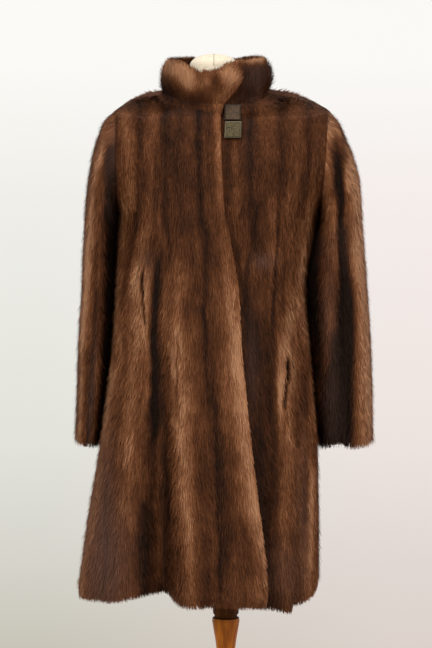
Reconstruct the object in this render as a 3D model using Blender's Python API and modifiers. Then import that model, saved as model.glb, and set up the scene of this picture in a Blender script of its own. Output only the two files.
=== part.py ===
"""A knee-length fur coat standing on a limbless dress form. Metres, +Z up.

The front faces -Y. The origin is the middle of the stand's underside, on the floor. "Right" and "left" in
the names are the wearer's, so the right side lies towards -X. Every panel is a wall through one set of body
lines: a place on the body is a row (0 neck, 1 shoulder tip, 2 underarm, 3 hem) and an angle round it
(0 front, +90 towards +X, 180 back). The solids reach as far as the tips of the fur.
"""

import math

import bmesh
import bpy
import numpy as np
from mathutils import Matrix

# Driving sizes
WALL = 0.010  # skin and lying fur together
COLLAR_WALL = 0.014  # fur on both sides
GAP = 0.0003  # between pieces that meet at a seam
ARMHOLE_SEAM = 0.6 * GAP  # each panel and sleeve stands this far off its armhole's own line
LAP_GAP = 0.0005  # between the two fronts where they lap
FORM_CLEARANCE = 0.0005  # between the coat's inside and the form's shoulders
EDGE_WALL = 0.0045  # a free edge is this thin at its very end
EDGE_ROUND = 0.006  # and full this far in

TIP_HEIGHT = 1.4236  # shoulder tips
UNDERARM_HEIGHT = 1.235
TIP_REACH = 0.187  # from the middle to each shoulder tip
UNDERARM_RIGHT = 0.184
UNDERARM_LEFT = 0.172
ARMHOLE_DEPTH = 0.082  # half the armhole, front to back

ARMHOLE_STEPS = 10
NECK_STEPS = 3
RIGHT_STEPS = 24  # columns from the free edge to the right side seam
LEFT_STEPS = 12  # columns from there to the left side seam
BACK_STEPS = 24
LAP_STEPS = 6  # columns of the left front that lie under the right one
NEAR_EDGE = 0.3  # one more column this close to the free edge, to round it
OVER_FADE = 4.0  # columns over which the right front comes down onto the body lines, past the lap
UNDER_FADE = 2.7  # columns over which the left front comes up to them, past the free edge
SKIRT_ROWS = (0.025, 0.11, 0.22, 0.33, 0.44, 0.55, 0.66, 0.77, 0.88, 0.985, 1.0)

# Neck to shoulder tips: where the shoulder line runs on each side
YOKE = np.array([
    # row, right, left, height
    (0.0, -0.099, 0.086, 1.4490),
    (0.33, -0.131, 0.123, 1.4465),
    (0.67, -0.161, 0.155, 1.4385),
    (1.0, -0.187, 0.187, 1.4236),
])

# How high each row passes the middle of the chest and of the back, above its ends
CENTRE_LIFT = np.array([
    # row, front, back
    (0.0, -0.0290, 0.0270),
    (0.5, -0.0295, 0.0220),
    (1.0, -0.0186, 0.0240),
    (1.3, -0.0143, 0.0100),
    (1.6, 0.0, 0.0),
    (3.0, 0.0, 0.0),
])

FRONT_DEPTH = np.array([
    # height, depth in the middle of the front
    (1.421, 0.086),
    (1.405, 0.096),
    (1.385, 0.107),
    (1.350, 0.124),
    (1.300, 0.140),
    (1.235, 0.149),
    (1.100, 0.152),
    (0.950, 0.158),
    (0.800, 0.165),
    (0.560, 0.178),
])

BACK_DEPTH = np.array([
    # height, depth in the middle of the back
    (1.477, 0.080),
    (1.447, 0.097),
    (1.418, 0.107),
    (1.364, 0.120),
    (1.300, 0.129),
    (1.235, 0.133),
    (1.100, 0.130),
    (0.950, 0.140),
    (0.800, 0.154),
    (0.560, 0.174),
])

SIDES = np.array([
    # height, right, left, squareness of the section
    (1.235, -0.184, 0.172, 2.25),
    (1.180, -0.185, 0.161, 2.25),
    (1.116, -0.187, 0.150, 2.25),
    (1.050, -0.190, 0.152, 2.3),
    (0.980, -0.1945, 0.158, 2.3),
    (0.900, -0.203, 0.163, 2.35),
    (0.820, -0.2145, 0.168, 2.4),
    (0.700, -0.232, 0.168, 2.4),
    (0.560, -0.247, 0.163, 2.4),
])

# The free edge of the right front, down the middle
FREE_EDGE = np.array([
    # height, x
    (1.421, 0.000),
    (1.380, 0.001),
    (1.310, 0.003),
    (1.240, 0.008),
    (1.190, 0.017),
    (1.100, 0.031),
    (1.010, 0.036),
    (0.910, 0.045),
    (0.790, 0.058),
    (0.700, 0.069),
    (0.620, 0.079),
    (0.560, 0.084),
])

# Flutes of the skirt: ridges push out, troughs push in
FLUTES = np.array([
    # angle where it begins, angle at the hem, half width, push, height where it begins
    (-66, -63, 14.0, 0.027, 1.20),
    (-46, -41, 10.0, 0.009, 1.15),
    (-34, -16, 9.0, -0.050, 1.19),
    (-18, -4, 6.5, 0.010, 1.17),
    (-4, 6, 4.5, -0.011, 1.15),
    (12, 22, 9.0, 0.008, 1.05),
    (31, 36, 5.5, -0.014, 1.10),
    (44, 47, 6.0, 0.011, 1.12),
    (55, 56, 5.0, -0.010, 1.12),
    (66, 67, 9.0, 0.023, 1.22),
    (-93, -93, 12.0, -0.012, 1.00),
    (97, 97, 9.0, -0.010, 1.00),
    (122, 119, 12.0, 0.014, 1.15),
    (141, 139, 8.0, -0.024, 1.12),
    (160, 159, 9.0, 0.013, 1.08),
    (178, 179, 8.0, -0.021, 1.14),
    (199, 201, 10.0, 0.014, 1.10),
    (219, 222, 8.0, -0.023, 1.12),
    (240, 242, 11.0, 0.014, 1.15),
])
FLUTE_GROWTH = 1.15  # a flute deepens with this power of the way down

HEM = np.array([
    # angle, height
    (-180, 0.572),
    (-135, 0.570),
    (-92, 0.578),
    (-66, 0.564),
    (-44, 0.558),
    (-16, 0.574),
    (-2, 0.566),
    (26, 0.566),
    (37, 0.562),
    (48, 0.552),
    (58, 0.557),
    (68, 0.572),
    (92, 0.588),
    (135, 0.570),
    (180, 0.572),
])

# Sleeves: the outer and inner line of each, seen from the front
SLEEVE_RIGHT = np.array([
    # outer x, outer height, inner x, inner height, half depth, middle y
    (0.187, 1.4236, 0.1840, 1.235, 0.082, 0.000),
    (0.208, 1.4010, 0.1847, 1.232, 0.083, 0.000),
    (0.222, 1.3690, 0.1849, 1.228, 0.084, 0.000),
    (0.232, 1.3340, 0.1850, 1.221, 0.084, 0.001),
    (0.239, 1.2930, 0.1852, 1.210, 0.084, 0.002),
    (0.244, 1.2480, 0.1855, 1.193, 0.083, 0.004),
    (0.247, 1.1990, 0.1860, 1.167, 0.082, 0.006),
    (0.250, 1.1490, 0.1870, 1.133, 0.081, 0.008),
    (0.252, 1.0980, 0.1888, 1.089, 0.080, 0.010),
    (0.256, 1.0430, 0.1914, 1.038, 0.079, 0.012),
    (0.259, 0.9880, 0.1950, 0.985, 0.078, 0.014),
    (0.261, 0.9330, 0.2005, 0.930, 0.077, 0.016),
    (0.263, 0.8790, 0.2068, 0.876, 0.076, 0.018),
    (0.265, 0.8340, 0.2110, 0.831, 0.075, 0.020),
    (0.264, 0.8270, 0.2125, 0.824, 0.074, 0.020),
])
SLEEVE_LEFT = np.array([
    # outer x, outer height, inner x, inner height, half depth, middle y
    (0.187, 1.4236, 0.1720, 1.235, 0.082, 0.000),
    (0.206, 1.4000, 0.1716, 1.232, 0.082, -0.001),
    (0.220, 1.3700, 0.1710, 1.228, 0.082, -0.002),
    (0.234, 1.3360, 0.1696, 1.221, 0.081, -0.003),
    (0.245, 1.2950, 0.1675, 1.210, 0.080, -0.004),
    (0.249, 1.2480, 0.1640, 1.193, 0.079, -0.005),
    (0.252, 1.1990, 0.1588, 1.167, 0.077, -0.006),
    (0.256, 1.1490, 0.1543, 1.133, 0.075, -0.007),
    (0.260, 1.0980, 0.1512, 1.089, 0.073, -0.008),
    (0.264, 1.0430, 0.1536, 1.038, 0.072, -0.009),
    (0.267, 0.9880, 0.1577, 0.985, 0.071, -0.010),
    (0.269, 0.9330, 0.1612, 0.930, 0.070, -0.010),
    (0.270, 0.8790, 0.1647, 0.876, 0.069, -0.010),
    (0.271, 0.8340, 0.1675, 0.831, 0.068, -0.010),
    (0.270, 0.8270, 0.1690, 0.824, 0.067, -0.010),
])

# Folds that run down the sleeves, by the angle round the sleeve (0 outside, 90 front, 180 inside, 270 back)
FOLD_FADE = 0.3  # share of the sleeve's length over which a fold begins or ends
FOLD_KNOTS = np.linspace(0, 1, 5)  # shares of the sleeve's length at which a fold's angles are given
SLEEVE_FOLDS_RIGHT = np.array([
    # five angles from the armhole to the cuff, half width, push, where it begins, where it ends
    (76, 76, 74, 78, 82, 16, -0.0050, 0.25, 1.3),
    (104, 105, 106, 108, 110, 15, 0.0030, 0.35, 1.3),
    (262, 260, 259, 257, 256, 18, -0.0060, 0.20, 1.3),
    (300, 300, 300, 301, 301, 16, 0.0030, 0.30, 1.3),
])
SLEEVE_FOLDS_LEFT = np.array([
    # five angles from the armhole to the cuff, half width, push, where it begins, where it ends
    (80, 86, 76, 88, 104, 16, -0.0140, 0.08, 1.3),
    (50, 48, 44, 46, 52, 17, 0.0040, 0.15, 1.3),
    (124, 122, 116, 122, 136, 15, 0.0040, 0.20, 1.3),
    (268, 270, 272, 274, 276, 17, -0.0090, 0.20, 1.3),
])

# The collar's right end laps over its left end
COLLAR_COLUMNS = 44
COLLAR_RISE = np.array([
    # angle round the neck, height of the collar
    (-180, 0.040),
    (-120, 0.050),
    (-78, 0.066),
    (-45, 0.068),
    (-15, 0.062),
    (0, 0.066),
    (12, 0.076),
    (22, 0.078),
    (45, 0.070),
    (80, 0.066),
    (120, 0.050),
    (180, 0.040),
])
COLLAR_LEAN = np.array([
    # share of the height, size against the neck line
    (0.0, 1.00),
    (0.25, 1.02),
    (0.55, 1.01),
    (0.8, 0.96),
    (1.0, 0.90),
])
COLLAR_END = np.array([
    # share of the height, angle that the upper end reaches
    (0.0, 3.0),
    (0.2, 10.0),
    (0.5, 21.0),
    (0.85, 21.0),
    (1.0, 17.0),
])
COLLAR_SECTION = (
    # share of the height, place across the wall: +1 outside, -1 inside
    (0.0, 0.92),
    (0.12, 1.0),
    (0.35, 1.0),
    (0.6, 1.0),
    (0.85, 1.0),
    (0.97, 0.75),
    (1.0, 0.0),
    (0.97, -0.75),
    (0.85, -1.0),
    (0.6, -1.0),
    (0.35, -1.0),
    (0.12, -1.0),
    (0.0, -0.92),
)
COLLAR_UNDER_END = -20.0  # angle that the lower end reaches
COLLAR_LAP_GAP = 0.001
COLLAR_CROSSING = (0.112, 0.878)  # shares of its length where it leaves the upper lap and meets the lower
COLLAR_THINNING = 1 / 12  # share of its length over which an end gets thin
COLLAR_END_WALL = 0.35  # an end's own thickness against the wall's
COLLAR_INSET = 0.004  # the collar's middle lies this far inside the neck's outer line

# Clasp plates, on the left front beside the free edge
PLATE = (0.0288, 0.0325, 0.0036)  # width, height, thickness
PLATE_FRAME = 0.0028  # width of the raised rim
PLATE_SINK = 0.0010  # how far the middle lies below the rim
PLATE_ROUND = 0.0006
PLATE_X = 0.0185
PLATE_REACH = 5  # the plates lie within this many columns and armhole steps of the free edge's top
PLATE_CLEARANCE = 1.5 * GAP
PLATE_HEIGHTS = {"clasp_upper": 1.4076, "clasp_lower": 1.3776}
PLATE_COLOURS = {"clasp_upper": (0.075, 0.055, 0.035), "clasp_lower": (0.11, 0.09, 0.05)}

# Dress form: its shoulders follow the inside of the coat, and below them it has sections of its own
COAT_ASIDE = -0.007  # the coat and form sit this far beside the stand's axis
FORM_ANGLES = 24
FORM_LAP_CLEARANCE = 0.0072  # more room at the front, where the two fronts lap
FORM_LAP_ANGLES = (40, 70)  # all of it up to the first angle, none past the second
FORM_NECK_INSET = (0.0175, 0.027)  # inside the neck line, at the sides and back, and at the front
FORM_TIP_SCALE = 0.97
FORM_SQUARENESS = 2.2
FORM_SECTIONS = np.array([
    # height, half width, front, back
    (1.3950, 0.1640, 0.084, 0.086),
    (1.3600, 0.1500, 0.098, 0.098),
    (1.3000, 0.1440, 0.112, 0.104),
    (1.2400, 0.1420, 0.118, 0.102),
    (1.1600, 0.1280, 0.106, 0.092),
    (1.0900, 0.1170, 0.092, 0.086),
    (1.0300, 0.1200, 0.094, 0.094),
    (0.9500, 0.1300, 0.102, 0.106),
    (0.8800, 0.1310, 0.104, 0.109),
    (0.8300, 0.1250, 0.098, 0.102),
    (0.8180, 0.1160, 0.090, 0.093),
    (0.8150, 0.1040, 0.080, 0.082),
])
FORM_NECK = np.array([
    # height, radius
    (1.4930, 0.0440),
    (1.4860, 0.0442),
    (1.4780, 0.0455),
    (1.4690, 0.0500),
])
NECK_MIDDLE = (-0.0143, 0.004)
CAP_RADIUS = 0.0430
CAP_EDGE = 0.004  # straight part of the cap's side
CAP_RISE = 0.0205
CAP_STEPS = 8
CAP_TOP_RADIUS = 0.001  # its small flat top

# Stand
ROD_RADIUS = 0.0125
RING_TOP = 0.535
RING_PROFILE = (
    # radius, height
    (0.0195, 0.0),
    (0.0230, -0.003),
    (0.0235, -0.010),
    (0.0230, -0.0175),
    (0.0205, -0.0205),
    (0.0205, -0.0235),
    (0.0235, -0.0255),
)
COLUMN_TOP = RING_TOP - 0.0255 - GAP
COLUMN_PROFILE = (
    # radius, height
    (0.0240, COLUMN_TOP),
    (0.0248, COLUMN_TOP - 0.005),
    (0.0225, 0.490),
    (0.0190, 0.470),
    (0.0165, 0.450),
    (0.0160, 0.425),
    (0.0185, 0.350),
    (0.0225, 0.265),
    (0.0255, 0.190),
    (0.0245, 0.150),
    (0.0190, 0.120),
    (0.0185, 0.112),
    (0.0270, 0.106),
    (0.0300, 0.095),
    (0.0270, 0.084),
    (0.0200, 0.078),
    (0.0260, 0.066),
    (0.0400, 0.048),
    (0.0480, 0.0303),
)
BASE_PROFILE = (
    # radius, height
    (0.060, 0.030),
    (0.128, 0.027),
    (0.148, 0.021),
    (0.157, 0.013),
    (0.160, 0.006),
    (0.158, 0.0),
)
TURNED_STEPS = 32
SHARP_ANGLE = math.radians(50)

FUR = (0.10, 0.045, 0.022)
FUR_ROUGHNESS = 0.8
LINEN = (0.60, 0.50, 0.37)
WOOD = (0.27, 0.075, 0.012)
DARK_WOOD = (0.055, 0.014, 0.006)
STEEL = (0.35, 0.34, 0.33)


def smooth(table, column, at):
    """A soft curve through one column of a table against its first column, with no overshoot."""
    knots, values = table[:, 0], table[:, column]
    if knots[0] > knots[-1]:
        knots, values = knots[::-1], values[::-1]
    at = np.clip(np.asarray(at, float), knots[0], knots[-1])
    steps = np.diff(knots)
    rises = np.diff(values) / steps
    before, after = rises[:-1], rises[1:]
    same_way = before * after > 0
    total = np.where(same_way, before + after, 1.0)
    inner = np.where(same_way, 2 * before * after / total, 0.0)
    slopes = np.concatenate(([rises[0]], inner, [rises[-1]]))
    k = np.clip(np.searchsorted(knots, at, side="right") - 1, 0, len(steps) - 1)
    t = (at - knots[k]) / steps[k]
    start, end = values[k], values[k + 1]
    return (
        start * (1 + 2 * t) * (1 - t) ** 2
        + end * (3 - 2 * t) * t**2
        + steps[k] * t * (1 - t) * (slopes[k] * (1 - t) - slopes[k + 1] * t)
    )


def unit(vectors):
    return vectors / np.linalg.norm(vectors, axis=-1, keepdims=True)


def ease(t):
    t = np.clip(t, 0, 1)
    return t * t * (3 - 2 * t)


def armhole(turn, side):
    """Outer edge of an armhole: turn 0 is the shoulder tip, pi the underarm. side is -1 right, +1 left."""
    middle = (TIP_HEIGHT + UNDERARM_HEIGHT) / 2
    height = middle + (TIP_HEIGHT - UNDERARM_HEIGHT) / 2 * np.cos(turn)
    low = UNDERARM_RIGHT if side < 0 else UNDERARM_LEFT
    reach = low + (TIP_REACH - low) * (height - UNDERARM_HEIGHT) / (TIP_HEIGHT - UNDERARM_HEIGHT)
    return side * reach, ARMHOLE_DEPTH * np.sin(turn), height


def row_shape(row, facing):
    """Middle, half width, depth, squareness, height, lift, end angle of a row. facing: -1 front, +1 back."""
    depths = FRONT_DEPTH if facing < 0 else BACK_DEPTH
    lift = float(smooth(CENTRE_LIFT, 1 if facing < 0 else 2, row))
    if row <= 1:
        right, left, height = (float(smooth(YOKE, k, row)) for k in (1, 2, 3))
        squareness, end_y = 2.0, 0.0
    else:
        turn = math.pi * (row - 1)
        right, end_y, height = armhole(turn, -1)
        left = armhole(turn, 1)[0]
        squareness = 2.0 + 0.25 * (row - 1)
    depth = float(smooth(depths, 1, height + lift))
    middle, half = (left + right) / 2, (left - right) / 2
    inset = (abs(end_y) / depth) ** squareness
    end_angle = 90.0 if abs(end_y) < 1e-9 else math.degrees(math.acos(math.sqrt(inset)))
    return middle, half / (1 - inset) ** (1 / squareness), depth, squareness, height, lift, end_angle


def powered(value, power):
    return np.sign(value) * np.abs(value) ** power


def flutes(angle, height, hem_height):
    """How far the flutes push the skirt out at each place."""
    push = np.zeros(np.broadcast(angle, height).shape)
    for top_angle, hem_angle, width, amount, begins in FLUTES:
        way = np.clip((begins - height) / (begins - hem_height), 0, 1)
        off = angle - (top_angle + (hem_angle - top_angle) * way)
        off = (off + 180) % 360 - 180
        push += amount * way**FLUTE_GROWTH * np.exp(-((off / width) ** 2))
    return push


def free_edge_angle(middle, half, squareness, height):
    across = np.clip((smooth(FREE_EDGE, 1, height) - middle) / half, -1, 1)
    return np.degrees(np.arcsin(powered(across, squareness / 2)))


def upper_row(row, turns, facing):
    """One row from the neck to the underarm. turns gives each column's angle from that row's shape."""
    middle, half, depth, squareness, height, lift, end_angle = row_shape(row, facing)
    if facing < 0:
        edge = float(free_edge_angle(middle, half, squareness, height + lift))
    else:
        edge = 0.0
    angle = turns(edge, end_angle)
    radians = np.radians(angle)
    across, along = powered(np.sin(radians), 2 / squareness), powered(np.cos(radians), 2 / squareness)
    rise = lift * np.cos(np.radians(90 * np.clip(np.abs(angle) / end_angle, 0, 1)))
    return np.stack([middle + half * across, facing * depth * along, height + rise], axis=-1)


def skirt_points(share, angle):
    """Points from the underarm (share 0) to the hem (share 1), by the angle round the body."""
    wrapped = (angle + 180) % 360 - 180
    hem_height = smooth(HEM, 1, wrapped)
    height = UNDERARM_HEIGHT + (hem_height - UNDERARM_HEIGHT) * share
    right, left, squareness = (smooth(SIDES, k, height) for k in (1, 2, 3))
    radians = np.radians(wrapped)
    sine, cosine = np.sin(radians), np.cos(radians)
    depth = np.where(cosine >= 0, smooth(FRONT_DEPTH, 1, height), smooth(BACK_DEPTH, 1, height))
    middle, half = (left + right) / 2, (left - right) / 2
    across, along = powered(sine, 2 / squareness), powered(cosine, 2 / squareness)
    outward = unit(np.stack([
        powered(across, squareness - 1) / half,
        -powered(along, squareness - 1) / depth,
    ], axis=-1))
    push = flutes(wrapped, height, hem_height)
    return np.stack([
        middle + half * across + outward[..., 0] * push,
        -depth * along + outward[..., 1] * push,
        height,
    ], axis=-1)


def skirt_edge_angle(share):
    """The free edge's angle, found on the row itself because the hem isn't level."""
    angle = 0.0
    for _ in range(6):
        height = UNDERARM_HEIGHT + (float(smooth(HEM, 1, angle)) - UNDERARM_HEIGHT) * share
        right, left, squareness = (float(smooth(SIDES, k, height)) for k in (1, 2, 3))
        angle = float(free_edge_angle((left + right) / 2, (left - right) / 2, squareness, height))
    return angle


def front_turns(columns):
    """Angles of the front's columns: negative ones run to the right seam, positive ones to the left seam."""
    def turns(edge, end_angle):
        to_right = edge + (-end_angle - edge) * (-columns) / RIGHT_STEPS
        to_left = edge + (end_angle - edge) * columns / LEFT_STEPS
        return np.where(columns < 0, to_right, to_left)
    return turns


def back_turns(columns):
    """Angles of the back's columns from its own middle, right seam first."""
    def turns(_edge, end_angle):
        return end_angle * (2 * columns / BACK_STEPS - 1)
    return turns


def upper_rows():
    neck = [step / NECK_STEPS for step in range(NECK_STEPS)]
    chest = [1 + step / ARMHOLE_STEPS for step in range(ARMHOLE_STEPS + 1)]
    return neck + chest


def body_grid(columns, facing):
    """All rows of the front or the back, neck to hem, as points."""
    turns = front_turns(columns) if facing < 0 else back_turns(columns)
    rows = [upper_row(row, turns, facing) for row in upper_rows()]
    for share in SKIRT_ROWS:
        if facing < 0:
            angle = turns(skirt_edge_angle(share), 90.0)
        else:
            angle = 180 - turns(0.0, 90.0)
        rows.append(skirt_points(share, angle))
    return np.array(rows)


def normals(grid, around=False):
    """Unit normals at a grid's points, to the right-hand side of rows down and columns across."""
    if around:
        across = np.roll(grid, -1, axis=1) - np.roll(grid, 1, axis=1)
    else:
        across = np.gradient(grid, axis=1)
    down = np.gradient(grid, axis=0)
    return unit(np.cross(down, across))


def plane_part(vectors, plane_normal):
    """The vectors turned into a plane, at full length."""
    plane_normal = np.asarray(plane_normal, float)
    plane_normal = plane_normal / np.linalg.norm(plane_normal)
    flat = vectors - (vectors @ plane_normal)[..., None] * plane_normal
    return unit(flat)


def armhole_inside(turn, side, depth):
    """The armhole's inner edge: its outer edge drawn in by the wall, in the armhole's own plane."""
    x, y, height = armhole(turn, side)
    half_height = (TIP_HEIGHT - UNDERARM_HEIGHT) / 2
    radial = np.array([math.sin(turn) / ARMHOLE_DEPTH, math.cos(turn) / half_height])
    radial = radial / np.linalg.norm(radial)
    inner_height = height - depth * radial[1]
    low = UNDERARM_RIGHT if side < 0 else UNDERARM_LEFT
    slope = (TIP_REACH - low) / (TIP_HEIGHT - UNDERARM_HEIGHT)
    return x + side * slope * (inner_height - height), y - depth * radial[0], inner_height


def seam_column(outer, inner, column, facing, side):
    """Brings one edge column of a panel onto its side and shoulder seam and its armhole."""
    first, last = NECK_STEPS, NECK_STEPS + ARMHOLE_STEPS
    for row in range(len(outer)):
        if first <= row <= last:
            turn = math.pi * (row - first) / ARMHOLE_STEPS
            for points, place in ((outer, armhole(turn, side)), (inner, armhole_inside(turn, side, WALL))):
                x, y, height = place
                points[row, column] = (x - side * ARMHOLE_SEAM, facing * max(y, GAP / 2), height)
        outer[row, column, 1] = facing * max(facing * outer[row, column, 1], GAP / 2)
        inner[row, column, 1] = facing * max(facing * inner[row, column, 1], GAP / 2)


def wall_from(grid, normal, facing, push, thick):
    """Outer and inner points of a panel. push moves it out, thick gives the wall's depth at each point."""
    normal = normal.copy()
    normal[0] = plane_part(normal[0], neck_plane())
    normal[-1] = plane_part(normal[-1], (0, 0, 1))
    seams = [k for k in (0, -1) if abs(grid[-1, k, 1]) < 0.01]
    for k in seams:
        normal[:, k] = plane_part(normal[:, k], (0, 1, 0))
        normal[0, k] = (math.copysign(1, grid[0, k, 0]), 0, 0)
    outer = grid + normal * push[..., None]
    inner = outer - normal * thick[..., None]
    for k in seams:
        seam_column(outer, inner, k, facing, -1 if grid[-1, k, 0] < 0 else 1)
    return outer, inner


def neck_plane():
    """The tilt of the neck line, from its height at the front and at the back."""
    rise = CENTRE_LIFT[0, 2] - CENTRE_LIFT[0, 1]
    run = FRONT_DEPTH[0, 1] + BACK_DEPTH[0, 1]
    return (0.0, -rise / run, 1.0)


def on_neck_plane(points):
    """Heights set so that every point of the neck line lies in one tilted plane."""
    tilt = neck_plane()
    points = points.copy()
    points[..., 2] = YOKE[0, 3] + CENTRE_LIFT[0, 1] - tilt[1] * (points[..., 1] + FRONT_DEPTH[0, 1])
    return points


def edge_thickness(distance):
    """A free edge's roundness: thin at its end and the whole wall EDGE_ROUND further in."""
    share = np.clip(distance / EDGE_ROUND, 0, 1)
    return EDGE_WALL + (WALL - EDGE_WALL) * np.sqrt(1 - (1 - share) ** 2)


def wall_faces(rows, columns, around):
    """Faces of a closed wall: outer sheet, inner sheet and rims. around closes it into a tube."""
    faces = []
    inner = rows * columns
    spans = columns if around else columns - 1

    def quad(a, b, c, d):
        faces.extend([(a, b, c), (a, c, d)])

    for i in range(rows - 1):
        for j in range(spans):
            k = (j + 1) % columns
            a, b, c, d = i * columns + j, (i + 1) * columns + j, (i + 1) * columns + k, i * columns + k
            quad(a, b, c, d)
            faces.extend([(inner + a, inner + c, inner + b), (inner + a, inner + d, inner + c)])
    for j in range(spans):
        k = (j + 1) % columns
        last = (rows - 1) * columns
        quad(j, k, inner + k, inner + j)
        quad(last + k, last + j, inner + last + j, inner + last + k)
    if not around:
        for i in range(rows - 1):
            a, b = i * columns, (i + 1) * columns
            quad(b, a, inner + a, inner + b)
            a, b = a + columns - 1, b + columns - 1
            quad(a, b, inner + b, inner + a)
    return faces


def material(name, colour, roughness, metallic=0.0):
    made = bpy.data.materials.new(name)
    made.use_nodes = True
    shader = made.node_tree.nodes["Principled BSDF"]
    shader.inputs["Base Color"].default_value = (*colour, 1)
    shader.inputs["Roughness"].default_value = roughness
    shader.inputs["Metallic"].default_value = metallic
    made.diffuse_color = (*colour, 1)
    return made


def add(collection, name, points, faces, finish):
    mesh = bpy.data.meshes.new(name)
    mesh.from_pydata([(x + COAT_ASIDE, y, z) for x, y, z in points], [], faces)
    mesh.materials.append(finish)
    mesh.shade_smooth()
    mesh.set_sharp_from_angle(angle=SHARP_ANGLE)
    made = bpy.data.objects.new(name, mesh)
    collection.objects.link(made)
    return made


def add_wall(collection, name, outer, inner, finish, around=False):
    rows, columns = outer.shape[:2]
    points = np.concatenate([outer.reshape(-1, 3), inner.reshape(-1, 3)])
    return add(collection, name, points, wall_faces(rows, columns, around), finish)


def lap_push(columns):
    """The right front's lap lies half a wall above the body lines, the left front's half a wall below."""
    half_step = (WALL + LAP_GAP) / 2
    over = half_step * (1 - ease((-columns - LAP_STEPS - 1) / OVER_FADE))
    under = -half_step * (1 - ease((columns - NEAR_EDGE) / UNDER_FADE))
    return over, under


def lap_normals(grid, lapped):
    """Normals of the fronts. Near the neck the lap moves out along the neck line and not upwards."""
    normal = normals(grid)
    normal[0] = plane_part(normal[0], neck_plane())
    for row in range(1, NECK_STEPS + 1):
        level = (1 - row / (NECK_STEPS + 1)) * lapped[:, None]
        normal[row] = unit(normal[row] * (1 - level) + plane_part(normal[row], neck_plane()) * level)
    return normal


def fronts(collection):
    """Both fronts from one set of columns, so that they keep their gap where they lap."""
    to_right = [-k for k in range(RIGHT_STEPS, 0, -1)]
    to_left = list(range(1, LEFT_STEPS + 1))
    columns = np.array(to_right + [-NEAR_EDGE, 0.0, NEAR_EDGE] + to_left, float)
    grid = body_grid(columns, -1)
    grid[0] = on_neck_plane(grid[0])
    over_push, under_push = lap_push(columns)
    normal = lap_normals(grid, np.maximum(over_push, -under_push) / over_push.max())
    drop = np.linalg.norm(grid[-1] - grid, axis=-1)

    over = columns <= 0
    part, shape = grid[:, over], (len(grid), over.sum())
    from_edge = np.linalg.norm(part - part[:, -1:], axis=-1)
    thick = edge_thickness(np.minimum(from_edge, drop[:, over]))
    push = np.broadcast_to(over_push[over], shape) - (WALL - thick) / 2
    outer, inner = wall_from(part, normal[:, over], -1, push, thick)
    add_wall(collection, "front_right", outer, inner, material("fur_front_right", FUR, FUR_ROUGHNESS))

    under = columns >= -LAP_STEPS
    part, shape = grid[:, under], (len(grid), under.sum())
    from_edge = np.linalg.norm(part - part[:, :1], axis=-1)
    thick = edge_thickness(np.minimum(from_edge, drop[:, under]))
    push = np.broadcast_to(under_push[under], shape) - (WALL - thick) / 2
    outer, inner = wall_from(part, normal[:, under], -1, push, thick)
    add_wall(collection, "front_left", outer, inner, material("fur_front_left", FUR, FUR_ROUGHNESS))


def back(collection):
    columns = np.arange(BACK_STEPS + 1.0)
    grid = body_grid(columns, 1)[:, ::-1]
    grid[0] = on_neck_plane(grid[0])
    normal = normals(grid)
    drop = np.linalg.norm(grid[-1] - grid, axis=-1)
    thick = edge_thickness(drop)
    outer, inner = wall_from(grid, normal, 1, -(WALL - thick) / 2, thick)
    add_wall(collection, "back", outer, inner, material("fur_back", FUR, FUR_ROUGHNESS))


def sleeve_lines(table, side):
    """Rings of a sleeve from its armhole to its cuff, each an oval between its outer and inner line."""
    turns = np.arange(2 * ARMHOLE_STEPS) * math.pi / ARMHOLE_STEPS
    out_x, out_z, in_x, in_z, depth, middle_y = (table[:, k][:, None] for k in range(6))
    x = (out_x + in_x) / 2 + (out_x - in_x) / 2 * np.cos(turns)
    z = (out_z + in_z) / 2 + (out_z - in_z) / 2 * np.cos(turns)
    y = middle_y - depth * np.sin(turns)
    return np.stack([side * x, y, z], axis=-1)


def sleeve_folds(folds, grid):
    """How far the folds push each point of a sleeve."""
    share = np.linspace(0, 1, len(grid))[:, None]
    turns = np.arange(grid.shape[1])[None] * 360 / grid.shape[1]
    push = np.zeros(grid.shape[:2])
    for *angles, width, amount, begins, ends in folds:
        line = smooth(np.column_stack([FOLD_KNOTS, angles]), 1, share)
        off = (turns - line + 180) % 360 - 180
        along = ease((share - begins) / FOLD_FADE) * ease((ends - share) / FOLD_FADE)
        push += amount * along * np.exp(-((off / width) ** 2))
    return push


def sleeve(collection, name, table, folds, side):
    grid = sleeve_lines(table, side)
    normal = normals(grid, around=True) * -side
    outer = grid + normal * sleeve_folds(folds, grid)[..., None]
    normal = normals(outer, around=True) * -side
    normal[-1] = plane_part(normal[-1], (0, 0, 1))
    thick = edge_thickness(np.linalg.norm(grid[-1] - grid, axis=-1))[..., None]
    outer -= normal * (WALL - thick) / 2
    inner = outer - normal * thick
    for k in range(grid.shape[1]):
        turn = math.pi * k / ARMHOLE_STEPS
        x, y, height = armhole(turn, side)
        outer[0, k] = (x + side * ARMHOLE_SEAM, -y, height)
        x, y, height = armhole_inside(turn, side, WALL) if turn <= math.pi else inside_behind(turn, side)
        inner[0, k] = (x + side * ARMHOLE_SEAM, -y, height)
    if side < 0:
        outer, inner = outer[:, ::-1], inner[:, ::-1]
    finish = material("fur_" + name, FUR, FUR_ROUGHNESS)
    add_wall(collection, name, outer[:, ::-1], inner[:, ::-1], finish, around=True)


def inside_behind(turn, side):
    """The armhole's inner edge on the back half, the mirror of the front half."""
    x, y, height = armhole_inside(2 * math.pi - turn, side, WALL)
    return x, -y, height


def neck_line(angle):
    """The neck's outer line at an angle round it, in the tilted plane of the neck."""
    right, left = YOKE[0, 1], YOKE[0, 2]
    radians = np.radians(angle)
    depth = np.where(np.cos(radians) >= 0, FRONT_DEPTH[0, 1], BACK_DEPTH[0, 1])
    line = np.stack([
        (left + right) / 2 + (left - right) / 2 * np.sin(radians),
        -depth * np.cos(radians),
        np.zeros(np.shape(radians)),
    ], axis=-1)
    return on_neck_plane(line)


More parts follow.
